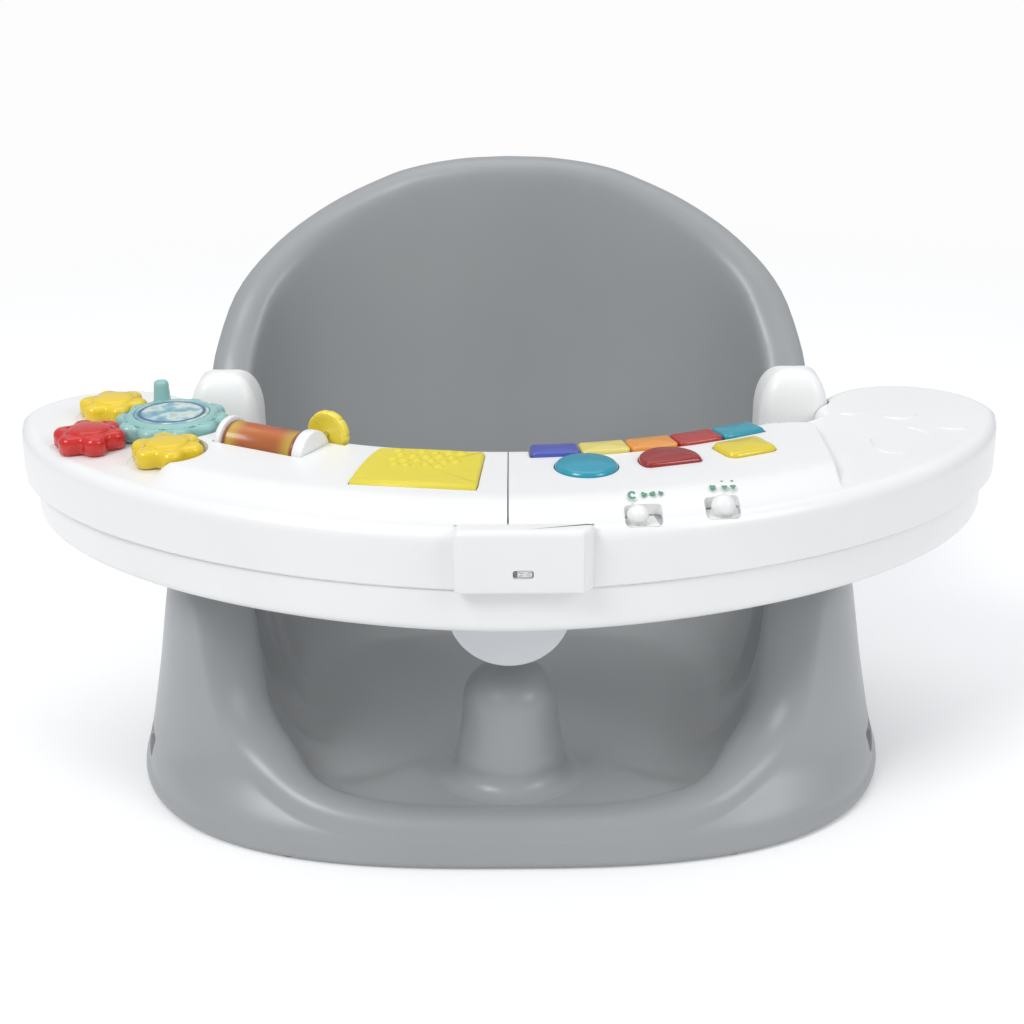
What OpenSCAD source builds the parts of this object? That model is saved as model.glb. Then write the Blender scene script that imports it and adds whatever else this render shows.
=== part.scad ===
// Baby floor seat: a moulded tub with a rolled rim and a crotch post, a white
// feeding tray that drops over the arms, and a lift-off toy module on the tray.
// Millimetres, +Z up, +X to the right of someone facing the seat, -Y to the
// front. The origin is on the floor, in the middle of the footprint.

/* [Seat tub] */
// Width of the foot of the skirt, side to side
base_w = 418; // [400:1:430]
// Depth of the foot of the skirt, front to back
base_d = 331; // [320:1:345]
// Height of the top of the backrest
back_h = 307; // [290:1:330]
// Height of the lip at the front, between the legs
lip_h = 33; // [28:1:40]
// Width of the upper part of the tub, over the rim
rim_w = 352; // [344:1:356]
// Height of the roll at the top of the rim
rim_roll = 12; // [8:1:14]
// Thickness of the moulded wall
wall = 3; // [2:0.1:3.4]
// Height of the seat floor
floor_h = 18; // [15:1:22]
// Depth of the recess behind the front apron
flank_recess = 14; // [6:1:16]
// Radius of the crotch post at its foot
post_r = 27; // [22:1:30]
// Height of the top of the crotch post
post_h = 85; // [70:1:92]
// Width of the strap slot, for 25 mm webbing
slot_w = 27; // [20:1:32]
// Height of the strap slot
slot_h = 13; // [6:1:14]
// Thickness of a foot pad below the skirt
pad_t = 1.2; // [0.8:0.1:2]
// Radius of a foot pad
pad_r = 7; // [4:0.5:7.5]

/* [Feeding tray] */
// Width of the toy module, side to side
module_w = 546; // [530:1:560]
// Distance from the widest line of the module to its front
module_d = 187; // [180:1:195]
// Height of the underside of the feeding tray
tray_z = 134; // [130:1:140]
// Height of the visible wall of the feeding tray
tray_h = 23; // [20:1:28]
// How far the tray's wall stands in from the module's, at the sides
tray_inset = 6.5; // [6:0.5:12]
// Depth of the dish in the feeding tray
dish_d = 10.5; // [6:0.5:12]
// Radius of the round lobe at each end of the module
lobe_r = 51; // [46:1:54]
// Radius of the inner edge, which curves round the child
inner_r = 243; // [236:1:250]
// Thickness of the tray's and the module's walls
shell_t = 2.5; // [2:0.1:3]
// Radius of the release lever's round edge
lever_r = 34; // [28:1:38]
// Thickness of the release lever
lever_t = 4; // [3:0.5:6]
// Width of the clip over each arm
clip_w = 39.5; // [38:0.5:40]
// Length of the clip along the arm
clip_l = 31; // [24:1:33]
// Height of the top of the clip
clip_h = 205; // [200:1:212]

/* [Toy module] */
// Height of the module's wall
module_h = 30; // [28:1:36]
// Height of the raised console above the module's rim
console_h = 6; // [4:0.5:8]
// Gap between the two halves of the module
seam = 0.6; // [0.3:0.1:1.5]
// Width of the centre latch cover
latch_w = 66; // [56:1:76]
// Clearance round each button, key and wheel
fit = 0.4; // [0.3:0.05:0.6]
// Travel of a key or button
press = 2.5; // [1.5:0.5:3]
// Number of piano keys
key_count = 5; // [5:1:5]
// Radius of the round button
button_r = 16; // [12:0.5:16.5]
// Radius of a slide knob
knob_r = 5.8; // [4:0.1:6]

/* [Gears and wheels] */
// Teeth on the large gear
big_teeth = 10; // [10:1:10]
// Teeth on each small gear
small_teeth = 6; // [6:1:6]
// Distance between the centres of meshing gears
gear_pitch = 46.5; // [46:0.1:48]
// Thickness of a gear
gear_t = 9.5; // [7:0.5:11]
// Radius of the pins that the gears turn on
gear_pin_r = 3; // [2.5:0.1:3.2]
// Radius of the bead roller
roller_r = 11.5; // [10:0.5:12]
// Length of the bead roller
roller_l = 45; // [36:1:46]
// Radius of the click wheel
wheel_r = 12.2; // [10:0.2:13]
// Thickness of the click wheel
wheel_t = 5; // [4:0.5:5.5]

/* [Hidden] */

grey = "#8d9093";
white = "#f4f4f2";
yellow = "#ecd12a";
red = "#d32f27";
teal = "#7fb9b4";
steel = "#b9bcc0";

// Shared places: the widest line of the tray lies behind the origin.
widest_y = 21;
module_z = tray_z + tray_h;
rim_z = module_z + module_h;
console_z = rim_z + console_h;
deck_under = rim_z - shell_t;
inner_cy = 157;            // centre of the inner edge's arc, from the widest line
arm_top = tray_z - 0.4;    // the arms stop just under the tray
lobe_x = module_w / 2 - lobe_r;   // centre of each round lobe
loose = 0.3;               // gap between a moving piece and its seat
run = 0.35;                // gap round a pin that something turns on

function lerp(a, b, t) = a + (b - a) * t;
function clamp(v, lo = 0, hi = 1) = min(max(v, lo), hi);
function ease(t) = let (c = clamp(t)) c * c * (3 - 2 * c);
function flat_list(l) = [for (a = l) each a];
// A smooth curve through a table of points, with no overshoot between them.
function segment(x, t, i = 0) = i >= len(t) - 2 || x < t[i + 1][0] ? i : segment(x, t, i + 1);
function secant(t, i) = (t[i + 1][1] - t[i][1]) / (t[i + 1][0] - t[i][0]);
function slope(t, i) = i == 0 ? secant(t, 0) : i == len(t) - 1 ? secant(t, i - 1)
    : let (a = secant(t, i - 1), b = secant(t, i)) a * b <= 0 ? 0 : 2 * a * b / (a + b);
function smooth(x0, t) = let (x = clamp(x0, t[0][0], t[len(t) - 1][0]), i = segment(x, t),
        h = t[i + 1][0] - t[i][0], u = (x - t[i][0]) / h)
    (2 * u * u * u - 3 * u * u + 1) * t[i][1] + (u * u * u - 2 * u * u + u) * h * slope(t, i)
    + (3 * u * u - 2 * u * u * u) * t[i + 1][1] + (u * u * u - u * u) * h * slope(t, i + 1);

// A closed skin over rings of equal length, from the first cap to the last.
// Each cap joins point i with point n-1-i, so a crescent closes cleanly.
function side_faces(m, n) = [for (k = [0:m - 2], i = [0:n - 1])
    let (j = (i + 1) % n, a = k * n + i, b = k * n + j, c = (k + 1) * n + j, d = (k + 1) * n + i)
    each [[a, c, b], [a, d, c]]];
function cap_faces(o, n, up) = [for (i = [0:n / 2 - 2])
    let (a = o + i, b = o + i + 1, c = o + n - 2 - i, d = o + n - 1 - i)
    each (up ? (i == n / 2 - 2 ? [[a, c, b], [a, d, c]] : [[a, c, b], [a, d, c]])
             : [[a, b, c], [a, c, d]])];
module skin(rings) {
    n = len(rings[0]);
    m = len(rings);
    polyhedron(flat_list(rings), concat(side_faces(m, n), cap_faces(0, n, false),
                                        cap_faces((m - 1) * n, n, true)));
}

// ---------------------------------------------------------------- seat tub
// Columns of the tub by angle from the front, half way round.
half_columns = [0, 8, 16, 23, 29, 34, 38.5, 42.5, 46, 48.7, 50.8, 52.4, 53.6, 54.6, 55.6, 57, 59,
                62.5, 67, 71.5, 75, 77, 79, 82, 85, 87.5, 89.5, 91.5, 94, 97, 101, 105, 110, 116,
                123, 130, 138, 146, 154, 163, 171];
columns = concat(half_columns, [180], [for (i = [len(half_columns) - 1:-1:1]) 360 - half_columns[i]]);
function side_angle(a) = a > 180 ? 360 - a : a;

// Height of the rim, from the lip between the legs to the top of the backrest.
back_rise = (back_h - arm_top) / 173.4;
function rim_height(a) = smooth(side_angle(a), [
    [0, lip_h], [20, lip_h], [30, lip_h + 1], [36, lip_h + 2.5], [41, lip_h + 5.5],
    [46, lip_h + 11], [49, lip_h + 18], [51, lip_h + 26], [52.8, lip_h + 36], [54, lip_h + 51],
    [55, lip_h + 69], [55.8, lip_h + 84], [57, arm_top - 5], [59, arm_top], [84, arm_top],
    [87, arm_top + 1.5 * back_rise], [89, arm_top + 8.4 * back_rise],
    [91, arm_top + 24 * back_rise], [93.5, arm_top + 43 * back_rise],
    [97, arm_top + 66 * back_rise], [103, arm_top + 87 * back_rise],
    [108.6, arm_top + 106 * back_rise], [116, arm_top + 123.4 * back_rise],
    [124, arm_top + 139 * back_rise], [132.7, arm_top + 152 * back_rise],
    [140, arm_top + 160 * back_rise], [147, arm_top + 166 * back_rise],
    [157, arm_top + 170.4 * back_rise], [168, arm_top + 172.7 * back_rise], [180, back_h]]);

// Outline of the tub's outer face at a height: half width, centre, front, back.
base_cy = widest_y - 16.5;
function out_half(z) = smooth(z, [[0, base_w / 2], [12.5, base_w / 2 - 3], [34, base_w / 2 - 7],
    [61, base_w / 2 - 13], [101, lerp(rim_w, base_w, 0.4) / 2], [134, lerp(rim_w, base_w, 0.24) / 2],
    [165, rim_w / 2 + 1], [200, rim_w / 2], [320, rim_w / 2]]);
function out_centre(z) = smooth(z, [[0, 0], [34, 2.5], [61, 6.5], [101, 13.5], [134, 19.5],
    [165, 28.5], [200, 36.5], [320, 38.5]]) + base_cy;
function out_front(z) = base_cy - base_d / 2 + smooth(z, [[0, 0], [12.5, 2.5], [34, 24], [61, 37],
    [101, 50], [134, 56], [320, 57]]);
function out_back(z) = base_cy + base_d / 2 - smooth(z, [[0, 0], [12.5, 2], [34, 8], [61, 11],
    [101, 14], [134, 16], [200, 18], [320, 20]]);
function out_power(z, a) = a < 90 ? smooth(z, [[0, 2.8], [34, 3.1], [61, 3.7], [101, 4.6], [134, 5]])
                                  : smooth(z, [[0, 2.8], [60, 2.6]]);
function recess(z, a) = flank_recess * ease((a - 75) / 4)
    * smooth(z, [[0, 0], [22, 0], [32, 1], [90, 0.92], [134, 0.82], [150, 0.55], [165, 0.22], [195, 0]]);
function polar_r(a, half, depth, power) =
    pow(pow(abs(sin(a)) / half, power) + pow(abs(cos(a)) / depth, power), -1 / power);
function at_angle(a, r, cy, z) = [r * sin(a), cy - r * cos(a), z];

function out_r(a, z) = let (s = side_angle(a), cy = out_centre(z),
        depth = s < 90 ? cy - out_front(z) : out_back(z) - cy)
    polar_r(a, out_half(z), depth, out_power(z, s)) - recess(z, s);
function rim_width(a) = smooth(side_angle(a), [[0, 20], [30, 21], [40, 26], [47, 33], [60, 34],
    [78, 32], [88, 28], [97, 26.5], [110, 26], [180, 26]]);
// The inner wall runs from the rim down to the outline of the seat floor.
function floor_point(a, grow, z) = let (s = side_angle(a))
    at_angle(a, polar_r(a, 112 + grow, (s < 90 ? 108 : 80) + grow, 2.4), base_cy - 3.5, z);
function wall_top(a) = rim_height(a) - rim_roll;
function inner_start(a, grow) = let (z = wall_top(a))
    at_angle(a, out_r(a, z) - rim_width(a) + grow, out_centre(z), z);
function inner_point(a, u, lift, grow, drop) =
    let (p = inner_start(a, grow), q = floor_point(a, grow, floor_h))
    [lerp(p[0], q[0], u), lerp(p[1], q[1], u),
     max(min(lerp(floor_h, p[2], lift), p[2]), floor_h + 2 * lift) - drop];

outer_steps = [0, 0.1, 0.24, 0.42, 0.62, 0.82, 1];
rim_steps = [25, 58, 90, 122, 155];
inner_steps = [[0, 1], [0.05, 0.72], [0.2, 0.44], [0.4, 0.2], [0.66, 0.06]];
under_steps = [[0.66, 0.06], [0.36, 0.24], [0.18, 0.5], [0.03, 0.8]];
hollow_steps = [1, 0.66, 0.3, 0];

function seat_rings() = concat(
    [for (r = [[-1.8, pad_t], [0, pad_t + 1.6], [0, 6], [-1.2, 8.4], [-2.6, 10.2]])
        [for (a = columns) at_angle(a, out_r(a, 0) + r[0], base_cy, r[1])]],
    [for (k = outer_steps) [for (a = columns) let (z = lerp(12, wall_top(a), k))
        at_angle(a, out_r(a, z), out_centre(z), z)]],
    [for (t = rim_steps) [for (a = columns) let (z = wall_top(a), w = rim_width(a))
        at_angle(a, out_r(a, z) - w * (1 - cos(t)) / 2, out_centre(z), z + rim_roll * sin(t))]],
    [for (s = inner_steps) [for (a = columns) inner_point(a, s[0], s[1], 0, 0)]],
    [[for (a = columns) floor_point(a, 0, floor_h)]],
    [[for (a = columns) floor_point(a, 0, floor_h - wall)]],
    [for (s = under_steps) [for (a = columns) inner_point(a, s[0], s[1], wall, wall * 0.8)]],
    [for (t = [125, 55]) [for (a = columns) let (z = wall_top(a), w = rim_width(a) - 2 * wall)
        at_angle(a, out_r(a, z) - wall - w * (1 - cos(t)) / 2, out_centre(z),
                 z - wall + rim_roll * sin(t))]],
    [for (k = hollow_steps) [for (a = columns) let (z = lerp(12, wall_top(a) - wall, k))
        at_angle(a, out_r(a, z) - wall, out_centre(z), z)]],
    [for (r = [[-wall - 3, 5], [-17, 5], [-17, pad_t]])
        [for (a = columns) at_angle(a, out_r(a, 0) + r[0], base_cy, r[1])]]);

// The tub's skin: a closed band of rings, with two fans where the floor meets.
module tub() {
    rings = seat_rings();
    n = len(columns);
    m = len(rings);
    top = 5 + len(outer_steps) + len(rim_steps) + len(inner_steps);
    centre = m * n;
    band = [for (k = [0:m - 1]) if (k != top) let (l = (k + 1) % m) for (i = [0:n - 1])
        let (j = (i + 1) % n) each [[k * n + i, l * n + j, k * n + j], [k * n + i, l * n + i, l * n + j]]];
    fans = [for (i = [0:n - 1]) let (j = (i + 1) % n)
        each [[top * n + i, centre, top * n + j], [(top + 1) * n + i, (top + 1) * n + j, centre + 1]]];
    polyhedron(concat(flat_list(rings), [[0, base_cy - 3.5, floor_h], [0, base_cy - 3.5, floor_h - wall]]),
               concat(band, fans));
}

// Crotch post: flared at the foot, with a domed top.
post_y = base_cy - 100;
post_neck = post_h - 20;
function post_profile(g) = concat(
    [[post_r + 11 + g, floor_h], [post_r + 6.5 + g, floor_h + 2.5], [post_r + 3.8 + g, floor_h + 7],
     [post_r + 2 + g, floor_h + 15], [post_r - 0.6 + g, floor_h + 30]],
    [for (t = [0:15:90]) [(post_r - 2.5 + g) * cos(t), post_neck + (20 + g) * sin(t)]]);
module crotch_post(g, z0) translate([0, post_y, 0]) rotate_extrude($fn = 64)
    polygon(concat([[0, z0], [post_r + 11 + g, z0]], post_profile(g)));

slot_angle = 73.6;
slot_z = 20;
module strap_slots() for (s = [-1, 1]) {
    r = out_r(slot_angle, slot_z);
    p = at_angle(slot_angle, r, out_centre(slot_z), slot_z);
    translate([s * p[0], p[1], slot_z]) rotate([0, 0, s * 14])
        cube([24, slot_w, slot_h], center = true);
}

module seat_shell() color(grey) difference() {
    union() {
        tub();
        crotch_post(0, floor_h - wall);
    }
    crotch_post(-wall, floor_h - wall - 1);
    strap_slots();
}

pad_angles = [38, 142, 218, 322];
module foot_pads() color("#3b3d3f") for (a = pad_angles) {
    p = at_angle(a, out_r(a, 0) - 10, base_cy, 0);
    translate(p) cylinder(r = pad_r, h = pad_t, $fn = 32);
}

// ------------------------------------------------------------ tray outlines
// Half outline of the crescent, d in from the edge: the front is a squashed
// ellipse, the end a round lobe, and the inner edge an arc round the child.
front_power = 1.8;
lobe_y = -11;
console_end = 45;        // along the front curve, degrees, where the console stops
main_steps = [0, 0.09, 0.18, 0.27, 0.36, 0.45, 0.54, 0.63, 0.72, 0.8, 0.87, 0.94, 1];
front_steps = 4;         // from there to the lobe
lobe_steps = 7;          // round the lobe
function front_point(t, a, b, d) = let (
        c = max(cos(t), 0), s = max(sin(t), 0),
        x = a * pow(s, 2 / front_power), y = -b * pow(c, 2 / front_power),
        nx = pow(abs(x) / a, front_power - 1) / a, ny = pow(abs(y) / b, front_power - 1) / b,
        l = max(norm([nx, ny]), 1e-9))
    [x - d * nx / l, y + d * ny / l];
// Where the inner arc meets the lobe, d in from the edge.
function meet_angle(lx, lr, d) = let (
        r1 = inner_r + d, r2 = lr - d, dx = lx, dy = lobe_y - inner_cy, e = norm([dx, dy]),
        q = (r1 * r1 - r2 * r2 + e * e) / (2 * e), h = sqrt(max(r1 * r1 - q * q, 0)),
        px = dx / e * q + dy / e * h, py = inner_cy + dy / e * q - dx / e * h)
    [asin(px / r1), atan2(py - lobe_y, px - lx)];
function half_outline(half_w, depth, lr, d, x0) = let (
        lx = half_w - lr,
        t1 = 90 - asin(pow(clamp(-lobe_y / depth), front_power / 2)),
        m = meet_angle(lx, lr, d), start = m[1] < 0 ? m[1] + 360 : m[1],
        outer = [for (f = main_steps) let (p = front_point(console_end * f, half_w, depth, d))
            [max(p[0], x0), p[1]]],
        outer2 = [for (i = [1:front_steps]) front_point(lerp(console_end, t1, i / front_steps), half_w, depth, d)],
        round1 = [for (i = [1:lobe_steps]) let (a = 92 * i / lobe_steps)
            [lx + (lr - d) * cos(a), lobe_y + (lr - d) * sin(a)]],
        lobe_n = front_steps + lobe_steps,
        round2 = [for (i = [0:lobe_n - 1]) let (a = lerp(101, start - 4, i / (lobe_n - 1)))
            [lx + (lr - d) * cos(a), lobe_y + (lr - d) * sin(a)]],
        inner = [for (k = [len(main_steps) - 1:-1:0]) let (a = m[0] * main_steps[k], q = inner_r + d)
            [max(q * sin(a), x0), inner_cy - q * cos(a)]])
    concat(outer, outer2, round1, round2, inner);
half_n = 2 * (len(main_steps) + front_steps + lobe_steps);
function mirror_x(l) = [for (i = [len(l) - 1:-1:0]) [-l[i][0], l[i][1]]];
function raise(l, z) = [for (p = l) [p[0], p[1], z]];

// Full crescent: right half, then the left half, as one loop from left lobe to
// right lobe along the front and back along the inner edge.
function full_outline(half_w, depth, lr, d) = let (
        h = half_outline(half_w, depth, lr, d, 0), k = half_n / 2)
    concat([for (i = [k - 1:-1:1]) [-h[i][0], h[i][1]]], [for (i = [0:k - 1]) h[i]],
           [for (i = [k:half_n - 2]) h[i]], [for (i = [half_n - 1:-1:k]) [-h[i][0], h[i][1]]]);

module tray_place() translate([0, widest_y, 0]) children();
module mirrored(s) if (s < 0) mirror([1, 0, 0]) children(); else children();

// ------------------------------------------------------------- feeding tray
tray_half = module_w / 2 - tray_inset;
tray_lobe = lobe_r - tray_inset;
dish_z = module_z - dish_d;
clip_y0 = -2;
clip_x = rim_w / 2 - 14.75;        // middle of the arm under the clip
hinge_y = -140;
hinge_z = tray_z + 4.5;
function tray_ring(d, z) = raise(full_outline(tray_half, module_d - 1, tray_lobe, d), z);

module tray_notches(z0, h) for (s = [-1, 1]) mirrored(s)
    translate([clip_x - clip_w / 2 - 12, clip_y0 - 0.5, z0]) cube([clip_w + 12.5, 90, h]);

module feeding_tray() color(white) tray_place() {
    difference() {
        skin([tray_ring(shell_t + 3, dish_z - shell_t), tray_ring(shell_t + 2, tray_z),
              tray_ring(2.2, tray_z), tray_ring(0.7, tray_z + 1.8), tray_ring(0, tray_z + 5),
              tray_ring(0, module_z - 2), tray_ring(1.4, module_z), tray_ring(4.6, module_z),
              tray_ring(7.5, dish_z)]);
        tray_notches(tray_z - 5, 80);
        // the foot of each clip lies in the dish, through the tray's inner rim
        for (s = [-1, 1]) mirrored(s) translate([clip_x - 14, -64, dish_z])
            cube([62, 92, 40]);
        for (s = [-1, 1], y = clip_screw_y) translate([s * clip_screw_x, y, dish_z - 8])
            cylinder(r = 1.9, h = 20, $fn = 24);
    }
    // two lugs under the deck carry the release lever's pin
    for (s = [-1, 1]) difference() {
        translate([s * (lever_r - 8) - 2, hinge_y - 5, tray_z + 0.5])
            cube([4, 10, dish_z - shell_t - tray_z - 0.5]);
        translate([s * (lever_r - 8) - 3, hinge_y, hinge_z]) rotate([0, 90, 0])
            cylinder(r = 1.5, h = 6, $fn = 24);
    }
}

// ---------------------------------------------------------------- arm clips
clip_screw_x = clip_x + 33;
clip_screw_y = [-50, -22];
foot_t = 4;
head_sink = 2;                  // the screws' heads lie below the foot's top
channel_w = clip_w - 5;
channel_h = clip_h - 11;
module clip_body() {
    hood_x = clip_x - clip_w / 2;
    difference() {
        union() {
            // hood with a domed top
            translate([hood_x, clip_y0, tray_z + 0.3]) cube([clip_w, clip_l, channel_h - tray_z - 14]);
            hull() {
                translate([hood_x, clip_y0, channel_h - 15]) cube([clip_w, clip_l, 1]);
                for (y = [clip_y0 + 8, clip_y0 + clip_l - 8])
                    translate([clip_x, y, clip_h - 17]) resize([clip_w, 16, 34]) sphere(r = 10, $fn = 28);
            }
            // foot plate in the dish
            translate([clip_x - 12, -62, dish_z]) cube([56, 58, foot_t]);
            translate([clip_x + clip_w / 2 - 1, -12, dish_z]) cube([26, 36, foot_t]);
        }
        // channel over the arm, open below and behind
        translate([clip_x - channel_w / 2, clip_y0 + 5, tray_z - 1])
            cube([channel_w, clip_l, channel_h - tray_z + 1]);
        translate([clip_x - channel_w / 2, clip_y0 - 1, tray_z - 1]) cube([channel_w, 10, 24]);
        for (y = clip_screw_y) translate([clip_screw_x, y, dish_z]) {
            translate([0, 0, -1]) cylinder(r = 1.9, h = 20, $fn = 24);
            translate([0, 0, foot_t - head_sink]) cylinder(r = 4, h = 20, $fn = 32);
        }
    }
}
module arm_clip_left() color(white) tray_place() mirrored(-1) clip_body();
module arm_clip_right() color(white) tray_place() clip_body();

module screw(length, r) {
    translate([0, 0, -length]) cylinder(r = r, h = length + 0.5, $fn = 24);
    difference() {
        cylinder(r = 2.1 * r, h = 1.8, $fn = 32);
        for (a = [0, 90]) rotate([0, 0, a]) translate([-r * 1.2, -0.4, 1]) cube([2.4 * r, 0.8, 2]);
    }
}
module clip_screws() color(steel) tray_place()
    for (s = [-1, 1], y = clip_screw_y) translate([s * clip_screw_x, y, dish_z + foot_t - head_sink]) screw(6, 1.7);

// ------------------------------------------------------------ release lever
module release_lever() color("#e6e8ea") tray_place() translate([0, hinge_y, hinge_z]) difference() {
    union() {
        // round tab that hangs below the tray
        translate([0, lever_t / 2, -9.5]) rotate([90, 0, 0]) intersection() {
            cylinder(r = lever_r, h = lever_t, $fn = 96);
            translate([-lever_r, -lever_r, -1]) cube([2 * lever_r, lever_r + 2, lever_t + 2]);
        }
        translate([-20, -lever_t / 2, -12]) cube([40, lever_t, 12]);
        rotate([0, 90, 0]) translate([0, 0, -20]) cylinder(r = 3.2, h = 40, $fn = 32);
    }
    translate([-21, 0, 0]) rotate([0, 90, 0]) cylinder(r = 1.45 + run, h = 42, $fn = 24);
    translate([-7.5, -8, -5]) cube([15, 16, 12]);
}
module lever_pin() color(steel) tray_place() translate([-lever_r + 4, hinge_y, hinge_z])
    rotate([0, 90, 0]) cylinder(r = 1.45, h = 2 * lever_r - 8, $fn = 24);

// A wound torsion spring round the pin, between the two halves of the hinge.
spring_turns = 5;
spring_wire = 0.5;
function coil_ring(i, n, r, len) = let (a = 360 * spring_turns * i / n, x = lerp(-len / 2, len / 2, i / n))
    [for (k = [0:4]) let (b = 72 * k) [x + spring_wire * sin(b),
        (r + spring_wire * cos(b)) * cos(a), (r + spring_wire * cos(b)) * sin(a)]];
module tube(rings) {
    n = len(rings[0]);
    m = len(rings);
    ends = concat([for (i = [1:n - 2]) [0, i, i + 1]], [for (i = [1:n - 2]) [(m - 1) * n, (m - 1) * n + i + 1, (m - 1) * n + i]]);
    polyhedron(flat_list(rings), concat(side_faces(m, n), ends));
}
module lever_spring() color(steel) tray_place() translate([0, hinge_y, hinge_z])
    tube([for (i = [0:spring_turns * 9]) coil_ring(i, spring_turns * 9, 2.4, 11)]);

// --------------------------------------------------------------- toy module
// Height of the deck: flat at the rim, rising in a slope to the console, which
// ends in a soft step at the last of the main sections.
slope_start = 7;
slope_run = 23;
function section_rise(s) = s < len(main_steps) - 1 ? console_h : 0;
function deck_rise(s, e) = section_rise(s) * clamp((e - slope_start) / slope_run);
function module_ring(d, z, x0) = raise(half_outline(module_w / 2, module_d, lobe_r, d, x0), z);
// The inner wall is lifted with the deck above it.
function lifted(ring) = let (n = len(ring)) [for (i = [0:n - 1]) let (p = ring[i],
        up = i < n / 2 ? 0 : section_rise(n - 1 - i))
    [p[0], p[1], p[2] + up * clamp((p[2] - module_z) / module_h)]];

deck_cols = 9;
// Deck rows between the outer and the inner edge of the crescent.
function deck_grid(ring) = let (n = len(ring)) [for (i = [0:n / 2 - 2], j = [1:deck_cols - 1])
    let (o = ring[i], q = ring[n - 1 - i], w = norm([q[0] - o[0], q[1] - o[1]]),
         first = min(w * 0.5, slope_run), s = j <= 4 ? first * j / 4 : lerp(first, w, (j - 4) / (deck_cols - 4)),
         t = s / w)
    [lerp(o[0], q[0], t), lerp(o[1], q[1], t), rim_z + deck_rise(i, s + slope_start)]];

module half_top_skin(x0) {
    rings = concat(
        [module_ring(shell_t + 4, deck_under, x0 + shell_t), module_ring(shell_t, deck_under - 5, x0 + shell_t),
         module_ring(shell_t, module_z, x0 + shell_t), module_ring(0, module_z, x0)],
        [for (r = [[0, rim_z - 8], [0.7, rim_z - 4.6], [2.3, rim_z - 2], [4.4, rim_z - 0.5],
                   [slope_start, rim_z]]) lifted(module_ring(r[0], r[1], x0))]);
    n = half_n;
    m = len(rings);
    g0 = m * n;
    gc = deck_cols - 1;
    top = m - 1;
    function at(i, j) = j == 0 ? top * n + i : j == deck_cols ? top * n + n - 1 - i : g0 + i * gc + j - 1;
    last = n / 2 - 2;
    deck = [for (i = [0:last - 1], j = [0:deck_cols - 1])
        each [[at(i, j), at(i, j + 1), at(i + 1, j + 1)], [at(i, j), at(i + 1, j + 1), at(i + 1, j)]]];
    // the seam's end closes below the slope, the other end on the lobe's tip
    seam_end = concat([for (j = [0:2]) [at(0, deck_cols), at(0, j + 1), at(0, j)]],
                      [for (j = [4:deck_cols - 1]) [at(0, 3), at(0, j + 1), at(0, j)]]);
    tip_end = concat([for (j = [0:4]) [at(last, j), at(last, j + 1), top * n + n / 2 - 1]],
                     [[at(last, 5), top * n + n / 2, top * n + n / 2 - 1]],
                     [for (j = [5:deck_cols - 1]) [at(last, j), at(last, j + 1), top * n + n / 2]]);
    polyhedron(concat(flat_list(rings), deck_grid(rings[top])),
               concat(side_faces(m, n), cap_faces(0, n, false), deck, seam_end, tip_end));
}

// Places along the inner edge: an angle from the middle, and a radius.
module on_arc(a, r, z) translate([0, inner_cy, 0]) rotate([0, 0, a]) translate([0, -r, z]) children();
module arc_sector(r0, r1, a0, a1, h) linear_extrude(height = h) polygon(concat(
    [for (i = [0:8]) let (a = lerp(a0, a1, i / 8)) [r1 * sin(a), -r1 * cos(a)]],
    [for (i = [8:-1:0]) let (a = lerp(a0, a1, i / 8)) [r0 * sin(a), -r0 * cos(a)]]));
module inner_centre() translate([0, inner_cy, 0]) children();
module pill(w, d, r, h) linear_extrude(height = h) union() {
    square([w - 2 * r, d], center = true);
    square([w, d - 2 * r], center = true);
    for (x = [-1, 1], y = [-1, 1]) translate([x * (w / 2 - r), y * (d / 2 - r)]) circle(r = r, $fn = 32);
}

key_r0 = inner_r + 0.5;
key_r1 = inner_r + 15.5;
key_a0 = 2.5;
key_step = 5.85;
key_mid = (key_r0 + key_r1) / 2 + 2;
key_low = console_z - 4;
button_ring = inner_r + 32;
button_angles = [8.2, 17.2, 26.2];
half_ring = button_ring + 1.5;     // the half-moon stands clear of the keys
knob_x = [64.5, 103];
knob_y = [-169, -158.5];
knob_turn = [10, 15];
knob_slot = [19, 19];
knob_travel = [6.2, 5];
plate_w = 20;              // the knob's plate under the deck
board_z = module_z + 15.5;
sheet_z = board_z + 1.6;
stem_low = sheet_z + 2 + press + 0.3;

module half_moon(r, h) intersection() {
    cylinder(r = r, h = h, $fn = 64);
    translate([-r, -r * 0.42, -1]) cube([2 * r, 2 * r, h + 2]);
}
module square_button(grow, h) pill(29 + 2 * grow, 21 + 2 * grow, 5 + grow, h);

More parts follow.
